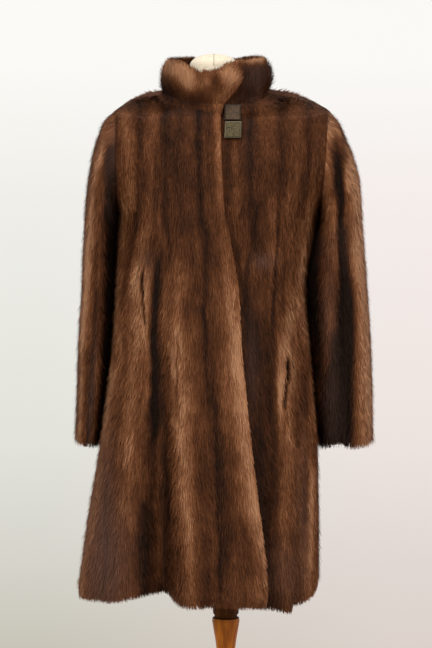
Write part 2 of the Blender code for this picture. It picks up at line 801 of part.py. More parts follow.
def collar(collection):
    """A band round the neck. Its right end lies over its left end, and its top edge is round."""
    half_step = (COLLAR_WALL + COLLAR_LAP_GAP) / 2
    begins, ends = COLLAR_CROSSING
    tilt = neck_plane()
    centre = np.array([(YOKE[0, 1] + YOKE[0, 2]) / 2, 0, 0])
    rings = []
    for k in range(COLLAR_COLUMNS + 1):
        way = k / COLLAR_COLUMNS
        lap = half_step * (1 - 2 * ease((way - begins) / (ends - begins)))
        from_end = min(way, 1 - way, COLLAR_THINNING) / COLLAR_THINNING
        thin = max(COLLAR_END_WALL, math.sqrt(1 - (1 - from_end) ** 2))
        ring = []
        for share, across in COLLAR_SECTION:
            end = float(smooth(COLLAR_END, 1, share))
            angle = end + (COLLAR_UNDER_END - 360 - end) * way
            wrapped = (angle + 180) % 360 - 180
            size = float(smooth(COLLAR_LEAN, 1, share))
            base = neck_line(angle)
            point = centre + (base - centre) * (size, size, 1)
            point[2] += GAP + float(smooth(COLLAR_RISE, 1, wrapped)) * share
            out = unit(np.array([base[0] - centre[0], base[1], 0.0]))
            step = lap - COLLAR_INSET + across * COLLAR_WALL / 2 * thin
            point = point + out * step
            point[2] -= tilt[1] * out[1] * step
            ring.append(point)
        rings.append(ring)
    rings = np.array(rings)
    count, around = rings.shape[:2]
    faces = []
    for i in range(count - 1):
        for j in range(around):
            k = (j + 1) % around
            a, b, c, d = i * around + j, (i + 1) * around + j, (i + 1) * around + k, i * around + k
            faces.extend([(a, c, b), (a, d, c)])
    start, end = rings[0].mean(axis=0), rings[-1].mean(axis=0)
    points = np.concatenate([rings.reshape(-1, 3), [start, end]])
    first_middle, last_middle = len(points) - 2, len(points) - 1
    last = (count - 1) * around
    for j in range(around):
        k = (j + 1) % around
        faces.append((k, j, first_middle))
        faces.append((last + j, last + k, last_middle))
    add(collection, "collar", points, faces, material("fur_collar", FUR, FUR_ROUGHNESS))


def left_front_surface():
    """Outer surface of the left front beside the free edge, shoulder to chest, and its normals."""
    columns = np.array([0, NEAR_EDGE] + list(range(1, PLATE_REACH + 1)))
    rows = upper_rows()[:NECK_STEPS + PLATE_REACH + 1]
    grid = np.array([upper_row(row, front_turns(columns), -1) for row in rows])
    grid[0] = on_neck_plane(grid[0])
    _, under_push = lap_push(columns)
    outer = grid + lap_normals(grid, np.ones(len(columns))) * under_push[None, :, None]
    return finer(outer), unit(finer(normals(outer)))


def finer(grid, steps=24):
    """The grid's own facets, cut finer along their straight lines."""
    for axis in (0, 1):
        count = grid.shape[axis]
        at = np.linspace(0, count - 1, (count - 1) * steps + 1)
        low = np.minimum(at.astype(int), count - 2)
        part = (at - low).reshape((-1, 1, 1) if axis == 0 else (1, -1, 1))
        grid = np.take(grid, low, axis=axis) * (1 - part) + np.take(grid, low + 1, axis=axis) * part
    return grid


def clasp_plate(collection, name, height):
    """A flat plate with a raised rim, laid on the left front."""
    outer, normal = left_front_surface()
    off = np.hypot(outer[..., 0] - PLATE_X, outer[..., 2] - height)
    place = np.unravel_index(np.argmin(off), off.shape)
    centre, out = outer[place], normal[place]
    across = unit(np.cross((0, 0, 1), out)) * -1
    up = np.cross(out, -across)
    local = outer - centre
    under = (np.abs(local @ across) < PLATE[0] / 2) & (np.abs(local @ up) < PLATE[1] / 2)
    highest = (local @ out)[under].max()
    centre = centre + out * (highest + PLATE_CLEARANCE)

    mesh = bpy.data.meshes.new(name)
    shape = bmesh.new()
    bmesh.ops.create_cube(shape, size=1)
    bmesh.ops.scale(shape, vec=PLATE, verts=shape.verts)
    bmesh.ops.translate(shape, vec=(0, 0, PLATE[2] / 2), verts=shape.verts)
    bmesh.ops.bevel(
        shape, geom=shape.edges[:], offset=PLATE_ROUND, segments=1, affect="EDGES", profile=0.5
    )
    top = max(shape.faces, key=lambda face: face.calc_center_median().z)
    bmesh.ops.inset_region(shape, faces=[top], thickness=PLATE_FRAME)
    bmesh.ops.translate(shape, vec=(0, 0, -PLATE_SINK), verts=top.verts)
    shape.to_mesh(mesh)
    shape.free()
    mesh.materials.append(material(name, PLATE_COLOURS[name], 0.45, 0.9))
    made = bpy.data.objects.new(name, mesh)
    turn = Matrix((-across, up, out)).transposed().to_4x4()
    made.matrix_world = Matrix.Translation((centre[0] + COAT_ASIDE, centre[1], centre[2])) @ turn
    collection.objects.link(made)


def section_ring(angles, half, front, back, squareness, height, middle=(0.0, 0.0)):
    radians = np.radians(angles)
    across, along = powered(np.sin(radians), 2 / squareness), powered(np.cos(radians), 2 / squareness)
    depth = np.where(along >= 0, front, back)
    return np.stack([
        middle[0] + half * across,
        middle[1] - depth * along,
        np.full(len(angles), height),
    ], axis=-1)


def form_shoulder_rings(angles):
    """Rings just under the coat, from its neck line to its shoulder tips."""
    rows = []
    for row in [step / NECK_STEPS for step in range(NECK_STEPS + 2)]:
        front = upper_row(row, lambda _edge, _end: angles, -1)
        behind = upper_row(row, lambda _edge, _end: np.sign(angles) * (180 - np.abs(angles)), 1)
        rows.append(np.where((np.abs(angles) <= 90)[:, None], front, behind))
    grid = np.array(rows)
    grid[0] = on_neck_plane(grid[0])
    normal = normals(grid, around=True)
    grid, normal = grid[:-1], normal[:-1]
    full, none = FORM_LAP_ANGLES
    in_front = ease((none - np.abs(angles)) / (none - full))
    inset = WALL + FORM_CLEARANCE + FORM_LAP_CLEARANCE * in_front
    rings = grid - normal * inset[None, :, None]
    inward = plane_part(normal[0], neck_plane())
    side_inset, front_inset = FORM_NECK_INSET
    rings[0] = grid[0] - inward * (side_inset + (front_inset - side_inset) * in_front)[:, None]
    rings[0, :, 2] -= 2 * GAP
    rings[-1, :, 0] *= FORM_TIP_SCALE
    return rings


def form_torso(collection):
    """A closed, smooth form from its neck down to its flat underside."""
    angles = np.arange(FORM_ANGLES) * 360 / FORM_ANGLES - 180
    rings = [section_ring(angles, r, r, r, 2, z, NECK_MIDDLE) for z, r in FORM_NECK]
    rings.extend(form_shoulder_rings(angles))
    for height, half, front, back in FORM_SECTIONS:
        rings.append(section_ring(angles, half, front, back, FORM_SQUARENESS, height))
    rings = np.array(rings)
    count = FORM_ANGLES
    points = np.concatenate([rings.reshape(-1, 3), [rings[0].mean(axis=0), rings[-1].mean(axis=0)]])
    faces = []
    for i in range(len(rings) - 1):
        for j in range(count):
            k = (j + 1) % count
            a, b, c, d = i * count + j, (i + 1) * count + j, (i + 1) * count + k, i * count + k
            faces.extend([(a, b, c), (a, c, d)])
    last, top, bottom = (len(rings) - 1) * count, len(points) - 2, len(points) - 1
    for j in range(count):
        k = (j + 1) % count
        faces.append((top, j, k))
        faces.append((bottom, last + k, last + j))
    add(collection, "form_torso", points, faces, material("linen", LINEN, 0.9))


def turned(collection, name, profile, finish, place=(0.0, 0.0, 0.0)):
    """A turned piece: its profile runs down the outer side, and discs close its top and bottom."""
    points = [(0.0, profile[0][1])] + list(profile) + [(0.0, profile[-1][1])]
    mesh = bpy.data.meshes.new(name)
    edges = [(k, k + 1) for k in range(len(points) - 1)]
    mesh.from_pydata([(radius, 0, z) for radius, z in points], edges, [])
    mesh.materials.append(finish)
    made = bpy.data.objects.new(name, mesh)
    made.location = place
    screw = made.modifiers.new("turned", "SCREW")
    screw.steps = screw.render_steps = TURNED_STEPS
    screw.use_merge_vertices = True
    screw.merge_threshold = 0.00001
    screw.use_smooth_shade = True
    collection.objects.link(made)


def form_cap(collection):
    """A low dome on the form's neck."""
    turns = [math.pi / 2 * k / CAP_STEPS for k in range(1, CAP_STEPS + 1)]
    dome = [(CAP_RADIUS * math.sin(turn), CAP_EDGE + CAP_RISE * math.cos(turn)) for turn in turns]
    place = (NECK_MIDDLE[0] + COAT_ASIDE, NECK_MIDDLE[1], FORM_NECK[0, 0] + GAP)
    profile = [(CAP_TOP_RADIUS, CAP_EDGE + CAP_RISE)] + dome + [(CAP_RADIUS, 0.0)]
    turned(collection, "form_cap", profile, material("cap_linen", LINEN, 0.85), place)


def stand(collection):
    form_bottom = FORM_SECTIONS[-1, 0]
    rod = [(ROD_RADIUS, form_bottom - GAP), (ROD_RADIUS, RING_TOP + GAP)]
    turned(collection, "stand_rod", rod, material("steel", STEEL, 0.35, 1.0))
    ring = [(radius, RING_TOP + z) for radius, z in RING_PROFILE]
    turned(collection, "stand_ring", ring, material("dark_wood", DARK_WOOD, 0.4))
    turned(collection, "stand_column", COLUMN_PROFILE, material("wood_column", WOOD, 0.35))
    turned(collection, "stand_base", BASE_PROFILE, material("wood_base", WOOD, 0.35))


def build():
    for old in list(bpy.data.objects):
        bpy.data.objects.remove(old, do_unlink=True)
    collection = bpy.data.collections.new("fur_coat")
    bpy.context.scene.collection.children.link(collection)
    fronts(collection)
    back(collection)
    sleeve(collection, "sleeve_right", SLEEVE_RIGHT, SLEEVE_FOLDS_RIGHT, -1)
    sleeve(collection, "sleeve_left", SLEEVE_LEFT, SLEEVE_FOLDS_LEFT, 1)
    collar(collection)
    for name, height in PLATE_HEIGHTS.items():
        clasp_plate(collection, name, height)
    form_torso(collection)
    form_cap(collection)
    stand(collection)


build()
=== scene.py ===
import math
from functools import partial

import bpy
import numpy as np
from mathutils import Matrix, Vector


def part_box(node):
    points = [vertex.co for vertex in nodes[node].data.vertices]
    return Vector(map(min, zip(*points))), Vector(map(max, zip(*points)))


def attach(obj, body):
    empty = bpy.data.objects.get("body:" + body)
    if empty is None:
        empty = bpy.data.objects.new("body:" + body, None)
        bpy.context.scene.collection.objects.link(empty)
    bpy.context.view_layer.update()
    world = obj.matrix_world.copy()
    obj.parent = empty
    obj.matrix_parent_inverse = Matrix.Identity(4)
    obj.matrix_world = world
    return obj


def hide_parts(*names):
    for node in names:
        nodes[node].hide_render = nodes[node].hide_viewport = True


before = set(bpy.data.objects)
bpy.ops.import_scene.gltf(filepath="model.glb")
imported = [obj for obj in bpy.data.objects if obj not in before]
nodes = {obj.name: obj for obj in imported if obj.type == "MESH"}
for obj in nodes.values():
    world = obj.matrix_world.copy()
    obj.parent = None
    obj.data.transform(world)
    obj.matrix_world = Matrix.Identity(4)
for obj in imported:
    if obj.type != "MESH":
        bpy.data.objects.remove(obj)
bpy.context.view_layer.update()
collection = bpy.context.scene.collection

# The body lines that the fronts and the back are cut to. x is the wearer's left, a row runs 0 at the neck,
# 1 at the shoulder tip, 2 at the underarm and 3 at the hem, and an angle of 0 is the middle of the front.
body = {
    "aside": -0.007,  # the coat stands this far beside the stand's axis
    "wall": 0.010,  # leather and lying fur together
    "gap": 0.0003,
    "lapGap": 0.0005,
    "lapShare": 0.25,  # how much of the right front's width lies over the left front
    "tipHeight": 1.4236,
    "underarmHeight": 1.235,
    "tipReach": 0.187,
    "underarmRight": 0.184,
    "underarmLeft": 0.172,
    "armholeDepth": 0.082,
    "fluteGrowth": 1.15,
    "squareness": (2.0, 0.25),  # of a row at the shoulder tip, and what it gains down to the underarm
    "armholeGap": 0.6,  # share of the gap that an armhole's rim keeps from its line
    "edgeTries": 6,
    # row, right, left, height
    "yoke": [
        (0.0, -0.099, 0.086, 1.449), (0.33, -0.131, 0.123, 1.4465), (0.67, -0.161, 0.155, 1.4385),
        (1.0, -0.187, 0.187, 1.4236),
    ],
    # row, rise of the front, rise of the back
    "centreLift": [
        (0.0, -0.029, 0.027), (0.5, -0.0295, 0.022), (1.0, -0.0186, 0.024), (1.3, -0.0143, 0.01),
        (1.6, 0.0, 0.0), (3.0, 0.0, 0.0),
    ],
    # height, depth of the front
    "frontDepth": [
        (1.421, 0.086), (1.405, 0.096), (1.385, 0.107), (1.35, 0.124), (1.3, 0.14), (1.235, 0.149),
        (1.1, 0.152), (0.95, 0.158), (0.8, 0.165), (0.56, 0.178),
    ],
    # height, depth of the back
    "backDepth": [
        (1.477, 0.08), (1.447, 0.097), (1.418, 0.107), (1.364, 0.12), (1.3, 0.129), (1.235, 0.133),
        (1.1, 0.13), (0.95, 0.14), (0.8, 0.154), (0.56, 0.174),
    ],
    # height, right side, left side, squareness
    "sides": [
        (1.235, -0.184, 0.172, 2.25), (1.18, -0.185, 0.161, 2.25), (1.116, -0.187, 0.15, 2.25),
        (1.05, -0.19, 0.152, 2.3), (0.98, -0.1945, 0.158, 2.3), (0.9, -0.203, 0.163, 2.35),
        (0.82, -0.2145, 0.168, 2.4), (0.7, -0.232, 0.1665, 2.4), (0.56, -0.247, 0.1615, 2.4),
    ],
    # height, x of the right front's free edge
    "freeEdge": [
        (1.421, 0.0), (1.38, 0.001), (1.31, 0.003), (1.24, 0.008), (1.19, 0.017), (1.1, 0.031),
        (1.01, 0.036), (0.91, 0.045), (0.79, 0.058), (0.7, 0.069), (0.62, 0.079), (0.56, 0.084),
    ],
    # angle where it begins, angle at the hem, half width, push, height where it begins
    "flutes": [
        (-66, -63, 14.0, 0.027, 1.2), (-46, -41, 10.0, 0.009, 1.15), (-34, -16, 9.0, -0.05, 1.19),
        (-18, -4, 6.5, 0.01, 1.17), (-4, 6, 4.5, -0.011, 1.15), (12, 22, 9.0, 0.008, 1.05),
        (31, 36, 5.5, -0.014, 1.1), (44, 47, 6.0, 0.011, 1.12), (55, 56, 5.0, -0.01, 1.12),
        (66, 67, 9.0, 0.023, 1.22), (-93, -93, 12.0, -0.012, 1.0), (97, 97, 9.0, -0.01, 1.0),
        (122, 119, 12.0, 0.014, 1.15), (141, 139, 8.0, -0.024, 1.12), (160, 159, 9.0, 0.013, 1.08),
        (178, 179, 8.0, -0.021, 1.14), (199, 201, 10.0, 0.014, 1.1), (219, 222, 8.0, -0.023, 1.12),
        (240, 242, 11.0, 0.014, 1.15),
    ],
    # angle, height of the hem, how far the leather stops short of it
    "hem": [
        (-180, 0.572, 0.01), (-135, 0.57, 0.01), (-92, 0.578, 0.012), (-66, 0.564, 0.011),
        (-44, 0.558, 0.016), (-16, 0.574, 0.012), (-8, 0.57, 0.003), (-2, 0.566, 0.004), (26, 0.566, 0.002),
        (37, 0.562, -0.004), (48, 0.552, 0.002), (58, 0.557, 0.006), (68, 0.572, 0.016), (80, 0.581, 0.022),
        (92, 0.588, 0.022), (135, 0.57, 0.01), (180, 0.572, 0.01),
    ],
}
bodyTables = {key: np.array(value) for key, value in body.items() if isinstance(value, list)}


def smooth(table, column, at):  # a soft line through a column of a table, with no overshoot
    knots, values = table[:, 0], table[:, column]
    if knots[0] > knots[-1]:
        knots, values = knots[::-1], values[::-1]
    at = np.clip(np.asarray(at, float), knots[0], knots[-1])
    steps = np.diff(knots)
    rises = np.diff(values) / steps
    before, after = rises[:-1], rises[1:]
    sameWay = before * after > 0
    inner = np.where(sameWay, 2 * before * after / np.where(sameWay, before + after, 1.0), 0.0)
    slopes = np.concatenate(([rises[0]], inner, [rises[-1]]))
    k = np.clip(np.searchsorted(knots, at, side="right") - 1, 0, len(steps) - 1)
    t = (at - knots[k]) / steps[k]
    return (
        values[k] * (1 + 2 * t) * (1 - t) ** 2 + values[k + 1] * (3 - 2 * t) * t**2
        + steps[k] * t * (1 - t) * (slopes[k] * (1 - t) - slopes[k + 1] * t)
    )


def unit(vectors):
    return vectors / np.maximum(np.linalg.norm(vectors, axis=-1, keepdims=True), 1e-12)


def ease(t):
    t = np.clip(t, 0, 1)
    return t * t * (3 - 2 * t)


def fade(value, begins, run):  # from 0 where it begins to 1 after its run, which may be negative
    return ease((value - begins) / run)


def bell(value, middle, width):
    return np.exp(-(((value - middle) / width) ** 2))


def powered(value, power):
    return np.sign(value) * np.abs(value) ** power


def squared(radians, squareness):  # places across and along a squared ellipse
    return powered(np.sin(radians), 2 / squareness), powered(np.cos(radians), 2 / squareness)


def wrap(angle):
    return (angle + 180) % 360 - 180


def armhole(turn, side, inset=0.0):  # turn 0 at the shoulder tip, pi at the underarm; side -1 right, +1 left
    low = body["underarmRight"] if side < 0 else body["underarmLeft"]
    halfHeight = (body["tipHeight"] - body["underarmHeight"]) / 2
    slope = (body["tipReach"] - low) / (2 * halfHeight)
    radial = unit(np.stack([np.sin(turn) / body["armholeDepth"], np.cos(turn) / halfHeight], axis=-1))
    height = body["underarmHeight"] + halfHeight * (1 + np.cos(turn)) - inset * radial[..., 1]
    y = body["armholeDepth"] * np.sin(turn) - inset * radial[..., 0]
    return side * (low + slope * (height - body["underarmHeight"])), y, height


def rowShape(row, facing):  # middle, half width, depth, squareness, height, lift and end angle of one row
    depths = bodyTables["frontDepth" if facing < 0 else "backDepth"]
    lift = float(smooth(bodyTables["centreLift"], 1 if facing < 0 else 2, row))
    squareness, more = body["squareness"]
    if row <= 1:
        right, left, height = (float(smooth(bodyTables["yoke"], k, row)) for k in (1, 2, 3))
        endY = 0.0
    else:
        turn = math.pi * (row - 1)
        right, endY, height = (float(v) for v in armhole(turn, -1))
        left = float(armhole(turn, 1)[0])
        squareness = squareness + more * (row - 1)
    depth = float(smooth(depths, 1, height + lift))
    middle, half = (left + right) / 2, (left - right) / 2
    inset = (abs(endY) / depth) ** squareness
    endAngle = 90.0 if abs(endY) < 1e-9 else math.degrees(math.acos(math.sqrt(inset)))
    return middle, half / (1 - inset) ** (1 / squareness), depth, squareness, height, lift, endAngle


def sidesAt(height):  # middle, half width and squareness below the underarm
    right, left, squareness = (smooth(bodyTables["sides"], k, height) for k in (1, 2, 3))
    return (left + right) / 2, (left - right) / 2, squareness


def flutePush(angle, height, hemHeight):
    push = np.zeros(np.broadcast(angle, height).shape)
    for topAngle, hemAngle, width, amount, begins in body["flutes"]:
        way = np.clip((begins - height) / (begins - hemHeight), 0, 1)
        off = wrap(angle - (topAngle + (hemAngle - topAngle) * way))
        push += amount * way ** body["fluteGrowth"] * bell(off, 0, width)
    return push


def freeEdgeAngle(middle, half, squareness, height):
    across = np.clip((smooth(bodyTables["freeEdge"], 1, height) - middle) / half, -1, 1)
    return np.degrees(np.arcsin(powered(across, squareness / 2)))


def upperRow(row, turns, facing, whole):
    middle, half, depth, squareness, height, lift, endAngle = rowShape(row, facing)
    edge = float(freeEdgeAngle(middle, half, squareness, height + lift)) if facing < 0 else 0.0
    angle = turns(edge, 90.0 if whole else endAngle)
    across, along = squared(np.radians(angle), squareness)
    reach = np.abs(angle) / endAngle
    rise = lift * np.cos(np.radians(90 * np.clip(reach, 0, 1)))
    return np.stack([middle + half * across, facing * depth * along, height + rise], axis=-1), reach


def leatherHem(angle):
    return smooth(bodyTables["hem"], 1, angle) + smooth(bodyTables["hem"], 2, angle)


def skirtPoints(share, angle):
    wrapped = wrap(angle)
    hemHeight = leatherHem(wrapped)
    height = body["underarmHeight"] + (hemHeight - body["underarmHeight"]) * share
    middle, half, squareness = sidesAt(height)
    radians = np.radians(wrapped)
    front, back = smooth(bodyTables["frontDepth"], 1, height), smooth(bodyTables["backDepth"], 1, height)
    depth = np.where(np.cos(radians) >= 0, front, back)
    across, along = squared(radians, squareness)
    outward = unit(np.stack([
        powered(across, squareness - 1) / half, -powered(along, squareness - 1) / depth,
    ], axis=-1))
    push = flutePush(wrapped, height, hemHeight)
    return np.stack([
        middle + half * across + outward[..., 0] * push, -depth * along + outward[..., 1] * push, height,
    ], axis=-1)


def skirtEdgeAngle(share):  # the free edge's angle, found on the row itself because the hem isn't level
    angle = 0.0
    for _ in range(body["edgeTries"]):
        hemHeight = float(leatherHem(angle))
        height = body["underarmHeight"] + (hemHeight - body["underarmHeight"]) * share
        angle = float(freeEdgeAngle(*(float(v) for v in sidesAt(height)), height))
    return angle


def neckPlane():
    lift = bodyTables["centreLift"]
    run = bodyTables["frontDepth"][0, 1] + bodyTables["backDepth"][0, 1]
    return np.array([0.0, -(lift[0, 2] - lift[0, 1]) / run, 1.0])


def onNeckPlane(points):
    frontDepth = bodyTables["frontDepth"][0, 1]
    base = bodyTables["yoke"][0, 3] + bodyTables["centreLift"][0, 1]
    points = points.copy()
    points[..., 2] = base - neckPlane()[1] * (points[..., 1] + frontDepth)
    return points


# Front: -1 right seam, 0 free edge, 1 left seam; back: -1 to 1. The second result is 1 at a seam or armhole.
# A whole grid runs on over the armholes, where its reach passes 1.
def bodyGrid(columns, rows, facing, whole):
    def turns(edge, endAngle):
        if facing > 0:
            return endAngle * columns
        toRight, toLeft = edge + (endAngle + edge) * columns, edge + (endAngle - edge) * columns
        return np.where(columns < 0, toRight, toLeft)

    lines, reaches = [], []
    for row in rows:
        reach = np.abs(columns)
        if row <= 2:
            line, reach = upperRow(row, turns, facing, whole)
        elif facing < 0:
            line = skirtPoints(row - 2, turns(skirtEdgeAngle(row - 2), 90.0))
        else:
            line = skirtPoints(row - 2, 180 - turns(0.0, 90.0))
        lines.append(line)
        reaches.append(reach)
    grid = np.array(lines)
    grid[0] = onNeckPlane(grid[0])
    return grid, np.array(reaches)


def normalsOf(grid, around=False):
    if around:
        across = np.roll(grid, -1, axis=1) - np.roll(grid, 1, axis=1)
    else:
        across = np.gradient(grid, axis=1)
    return unit(np.cross(np.gradient(grid, axis=0), across))


def softened(vectors, times):  # directions evened out from row to row
    for _ in range(times):
        before, after = np.roll(vectors, 1, axis=0), np.roll(vectors, -1, axis=0)
        before[0], after[-1] = vectors[0], vectors[-1]
        vectors = unit(before + 2 * vectors + after)
    return vectors


def planePart(vectors, planeNormal):
    planeNormal = np.asarray(planeNormal, float)
    planeNormal = planeNormal / np.linalg.norm(planeNormal)
    return unit(vectors - (vectors @ planeNormal)[..., None] * planeNormal)


def seenFromFront(points):  # where each point shows on the upright plane through the stand's axis
    eye = camera["place"]
    way = eye[1] / (eye[1] - points[..., 1])
    x = eye[0] + (points[..., 0] + body["aside"] - eye[0]) * way - body["aside"]
    return x, eye[2] + (points[..., 2] - eye[2]) * way


def strokes(across, along, lines):  # soft lines laid on a sheet: what they add, and how far they sink
    tone, sink = np.zeros(across.shape), np.zeros(across.shape)
    for strength, width, path, *depths in lines:
        steps = np.array(path, float)
        steps = steps[np.argsort(steps[:, 0])]
        low, high = steps[0, 0], steps[-1, 0]
        run = fur["lineFade"] * (high - low) + 1e-6
        inside = ease((along - low) / run + 0.5) * ease((high - along) / run + 0.5)
        shape = bell(across, smooth(steps, 1, along), width) * inside
        tone += strength * shape
        for depth in depths:
            sink += depth * shape
    return tone, sink


def blobs(across, along, spots):  # soft round patches: strength, across, along, half width, half length
    total = np.zeros(across.shape)
    for strength, a, b, width, length in spots:
        total += strength * np.exp(-(((across - a) / width) ** 2) - ((along - b) / length) ** 2)
    return total


def blotches(across, along, width, length, seed):  # uneven patches about this wide and long, from -1 to 1
    cells = 64
    values = np.random.default_rng(seed).uniform(-1, 1, (cells, cells))
    u, v = across / width, along / length
    i, j = np.floor(u).astype(int), np.floor(v).astype(int)
    s, t = ease(u - i), ease(v - j)
    corner = lambda a, b: values[(i + a) % cells, (j + b) % cells]
    first, second = (corner(0, k) * (1 - s) + corner(1, k) * s for k in (0, 1))
    return first * (1 - t) + second * t


def uneven(kind, u, v, seed, start=0.0):  # patches of several sizes laid over each other
    return sum((
        amount * blotches(u, v, width, length, seed + k) for amount, width, length, k in fur[kind]
    ), start)


def coolPatches(u, v, most, seed):  # greyer fur here and there
    width, length, less = fur["coolPatch"]
    return np.clip(most * blotches(u, v, width, length, seed) - less, 0, most)


def wavering(x, z, seed):  # the lines' edges run unevenly
    return uneven("waver", x, z, seed, x)


def gridQuads(rows, columns, around, flip=False):  # faces of a grid, with each corner's row and column
    spans = columns if around else columns - 1
    i, j = (a.ravel() for a in np.meshgrid(np.arange(rows - 1), np.arange(spans), indexing="ij"))
    k = (j + 1) % columns
    faces = np.stack([i * columns + j, (i + 1) * columns + j, (i + 1) * columns + k, i * columns + k], axis=1)
    rowOf = np.stack([i, i + 1, i + 1, i], axis=1) / (rows - 1)
    columnOf = np.stack([j, j, j + 1, j + 1], axis=1) / spans
    places = np.stack([columnOf, rowOf], axis=-1)
    if flip:
        return faces[:, ::-1], places[:, ::-1]
    return faces, places


def joined(values):  # a ring closed with its first column once more
    return np.concatenate([values, values[:, :1]], axis=1)


def meshFrom(name, points, faces, uv=None, slots=None):
    mesh = bpy.data.meshes.new(name)
    mesh.from_pydata((np.asarray(points) + (body["aside"], 0, 0)).tolist(), [], faces)
    mesh.shade_smooth()
    if uv is not None:
        layer = mesh.uv_layers.new(name="OFBake")
        layer.uv.foreach_set("vector", np.asarray(uv, np.float32).ravel())
    if slots is not None:
        mesh.polygons.foreach_set("material_index", np.asarray(slots, np.int32))
    mesh.update()
    return mesh


def setAttribute(mesh, name, values):
    kind, key = ("FLOAT", "value") if np.ndim(values) == 1 else ("FLOAT_VECTOR", "vector")
    attribute = mesh.attributes.new(name, kind, "POINT")
    attribute.data.foreach_set(key, np.asarray(values, np.float32).ravel())


def addObject(name, mesh):
    made = bpy.data.objects.new(name, mesh)
    collection.objects.link(made)
    return made


coarse = (slice(None, None, 2), slice(None, None, 2))  # the leather has half of the fur's rows and columns

# Size and shift of each part's places in the map that its looks are baked to.
bakeMap = {
    "outer": ((0.94, 0.74), (0.03, 0.03)),
    "inner": ((0.94, 0.16), (0.03, 0.81)),
    "collar": ((0.94, 0.9), (0.03, 0.05)),
    "strands": (0.98, 0.01),
    "rim": 0.02,  # width of a rim's strip
    "caps": (0.98, 0.98),  # the place of the collar's end faces
}


def onMap(part, places):
    size, shift = bakeMap[part]
    return places * size + shift


def shellPiece(name, outer, inner, around, fields):  # a closed leather wall: outer side, lining and rims
    outer, inner = outer[coarse], inner[coarse]
    rows, columns = outer.shape[:2]
    count = rows * columns
    points = np.concatenate([outer.reshape(-1, 3), inner.reshape(-1, 3)])
    front, frontAt = gridQuads(rows, columns, around)
    behind, behindAt = gridQuads(rows, columns, around, flip=True)
    faces, places = [front, behind + count], [onMap("outer", frontAt), onMap("inner", behindAt)]
    slots = [0] * len(front) + [1] * len(front)

    def rim(a, b, placeA, placeB, outwards):  # one strip between the two sheets, from grid index a to b
        faces.append(np.stack([a, b, b + count, a + count], axis=1))
        uvA, uvB = onMap("outer", placeA), onMap("outer", placeB)
        step = np.array(outwards) * bakeMap["rim"]
        places.append(np.stack([uvA, uvB, uvB + step, uvA + step], axis=1))
        slots.extend([0] * len(a))

    j = np.arange(columns if around else columns - 1)
    k, last, spans = (j + 1) % columns, (rows - 1) * columns, len(j)
    top = lambda x, t: np.stack([x / spans, np.full(len(x), t)], axis=1)
    rim(j, k, top(j, 0.0), top(j + 1, 0.0), (0, -1))
    rim(last + k, last + j, top(j + 1, 1.0), top(j, 1.0), (0, 1))
    if not around:
        i = np.arange(rows - 1)
        side = lambda x, s: np.stack([np.full(len(x), s), x / (rows - 1)], axis=1)
        rim((i + 1) * columns, i * columns, side(i + 1, 0.0), side(i, 0.0), (-1, 0))
        low, high = i * columns + columns - 1, (i + 1) * columns + columns - 1
        rim(low, high, side(i, 1.0), side(i + 1, 1.0), (1, 0))
    mesh = meshFrom(name, points, np.concatenate(faces).tolist(), np.concatenate(places), slots)
    for key in ("tone", "cool"):
        setAttribute(mesh, key, np.concatenate([fields[key][coarse].ravel()] * 2))
    mesh.materials.append(underFur)
    mesh.materials.append(lining)
    return addObject(name, mesh)


fur = {
    "depth": 0.0042,  # the leather and underfur lie this far below the tips
    "seamDepth": -0.0004,  # and this far where the body and a sleeve touch
    "length": 0.0165,
    "width": 0.0013,
    "tipWidth": 0.3,  # a lock's width at its tip, against its root
    "lean": 12.0,  # degrees off the leather
    "spread": 6.0,
    "roll": 20.0,
    "loose": 1.9,  # how much farther the loosest hairs lean
    "closest": 0.62,  # and how far the closest do
    "closeness": 4.0,  # power by which most hairs lie close
    "lengths": (0.7, 1.15),
    "widths": (0.7, 1.3),
    "fringe": (0.0018, 0.0040),  # more locks are rooted this deep along a hem or cuff
    "fringeRows": 5,
    "bodyRadius": 0.17,  # makes a length of the angle round the body
    "evenings": 4,  # times that the directions are evened out
    "fall": 0.5,  # how far the fall over the shoulders leans to the front or back
    "fallTo": (2.0, 0.12),  # row where the fur turns to lie along the panel, and its run
    "seamReach": 0.12,  # share of a panel's width over which it comes up to a seam
    "seamFrom": (1.86, 0.10),  # rows where that begins and where it ends, each with its run
    "seamTo": (2.7, -0.3),
    "shoulder": (0.9, 0.35),  # row and half width where the fur lies close and short
    "armholeFrom": (0.7, 0.3),  # rows between which it's also short beside an armhole
    "armholeTo": (2.1, -0.2),
    "closer": 0.75,  # how much less it stands off there, and how much shorter it is
    "shorter": 0.45,
    "edgeReach": 0.008,  # how far from the free edge the fur is combed outwards
    "edgeTurn": 0.10,
    "edgeShorter": 0.4,
    "hemRun": 0.030,  # rows over which the hem's fur changes
    "hemDrop": 1.3,  # more than 1, so that the locks turn inwards under a hem or cuff
    "hemShorter": 0.22,
    "bareFrom": (1.03, -0.03),  # no hair grows past an armhole
    "lineFade": 0.22,  # share of a stroke over which each end fades
    # amount, width, length and a step of the seed
    "locks": [
        (0.045, 0.012, 0.06, 0), (0.045, 0.03, 0.03, 1), (0.065, 0.0045, 0.035, 2), (0.065, 0.007, 0.012, 4),
    ],
    "waver": [(0.0022, 0.03, 0.025, 0), (0.0012, 0.012, 0.009, 1)],
    "collarLocks": [(0.09, 0.006, 0.010, 0), (0.07, 0.014, 0.018, 1)],
    "swirl": [(0.55, 0.28, 0.55, 0), (0.3, 0.12, 0.3, 1)],
    "coolPatch": (0.06, 0.12, 0.05),  # width, length and what is taken off
}


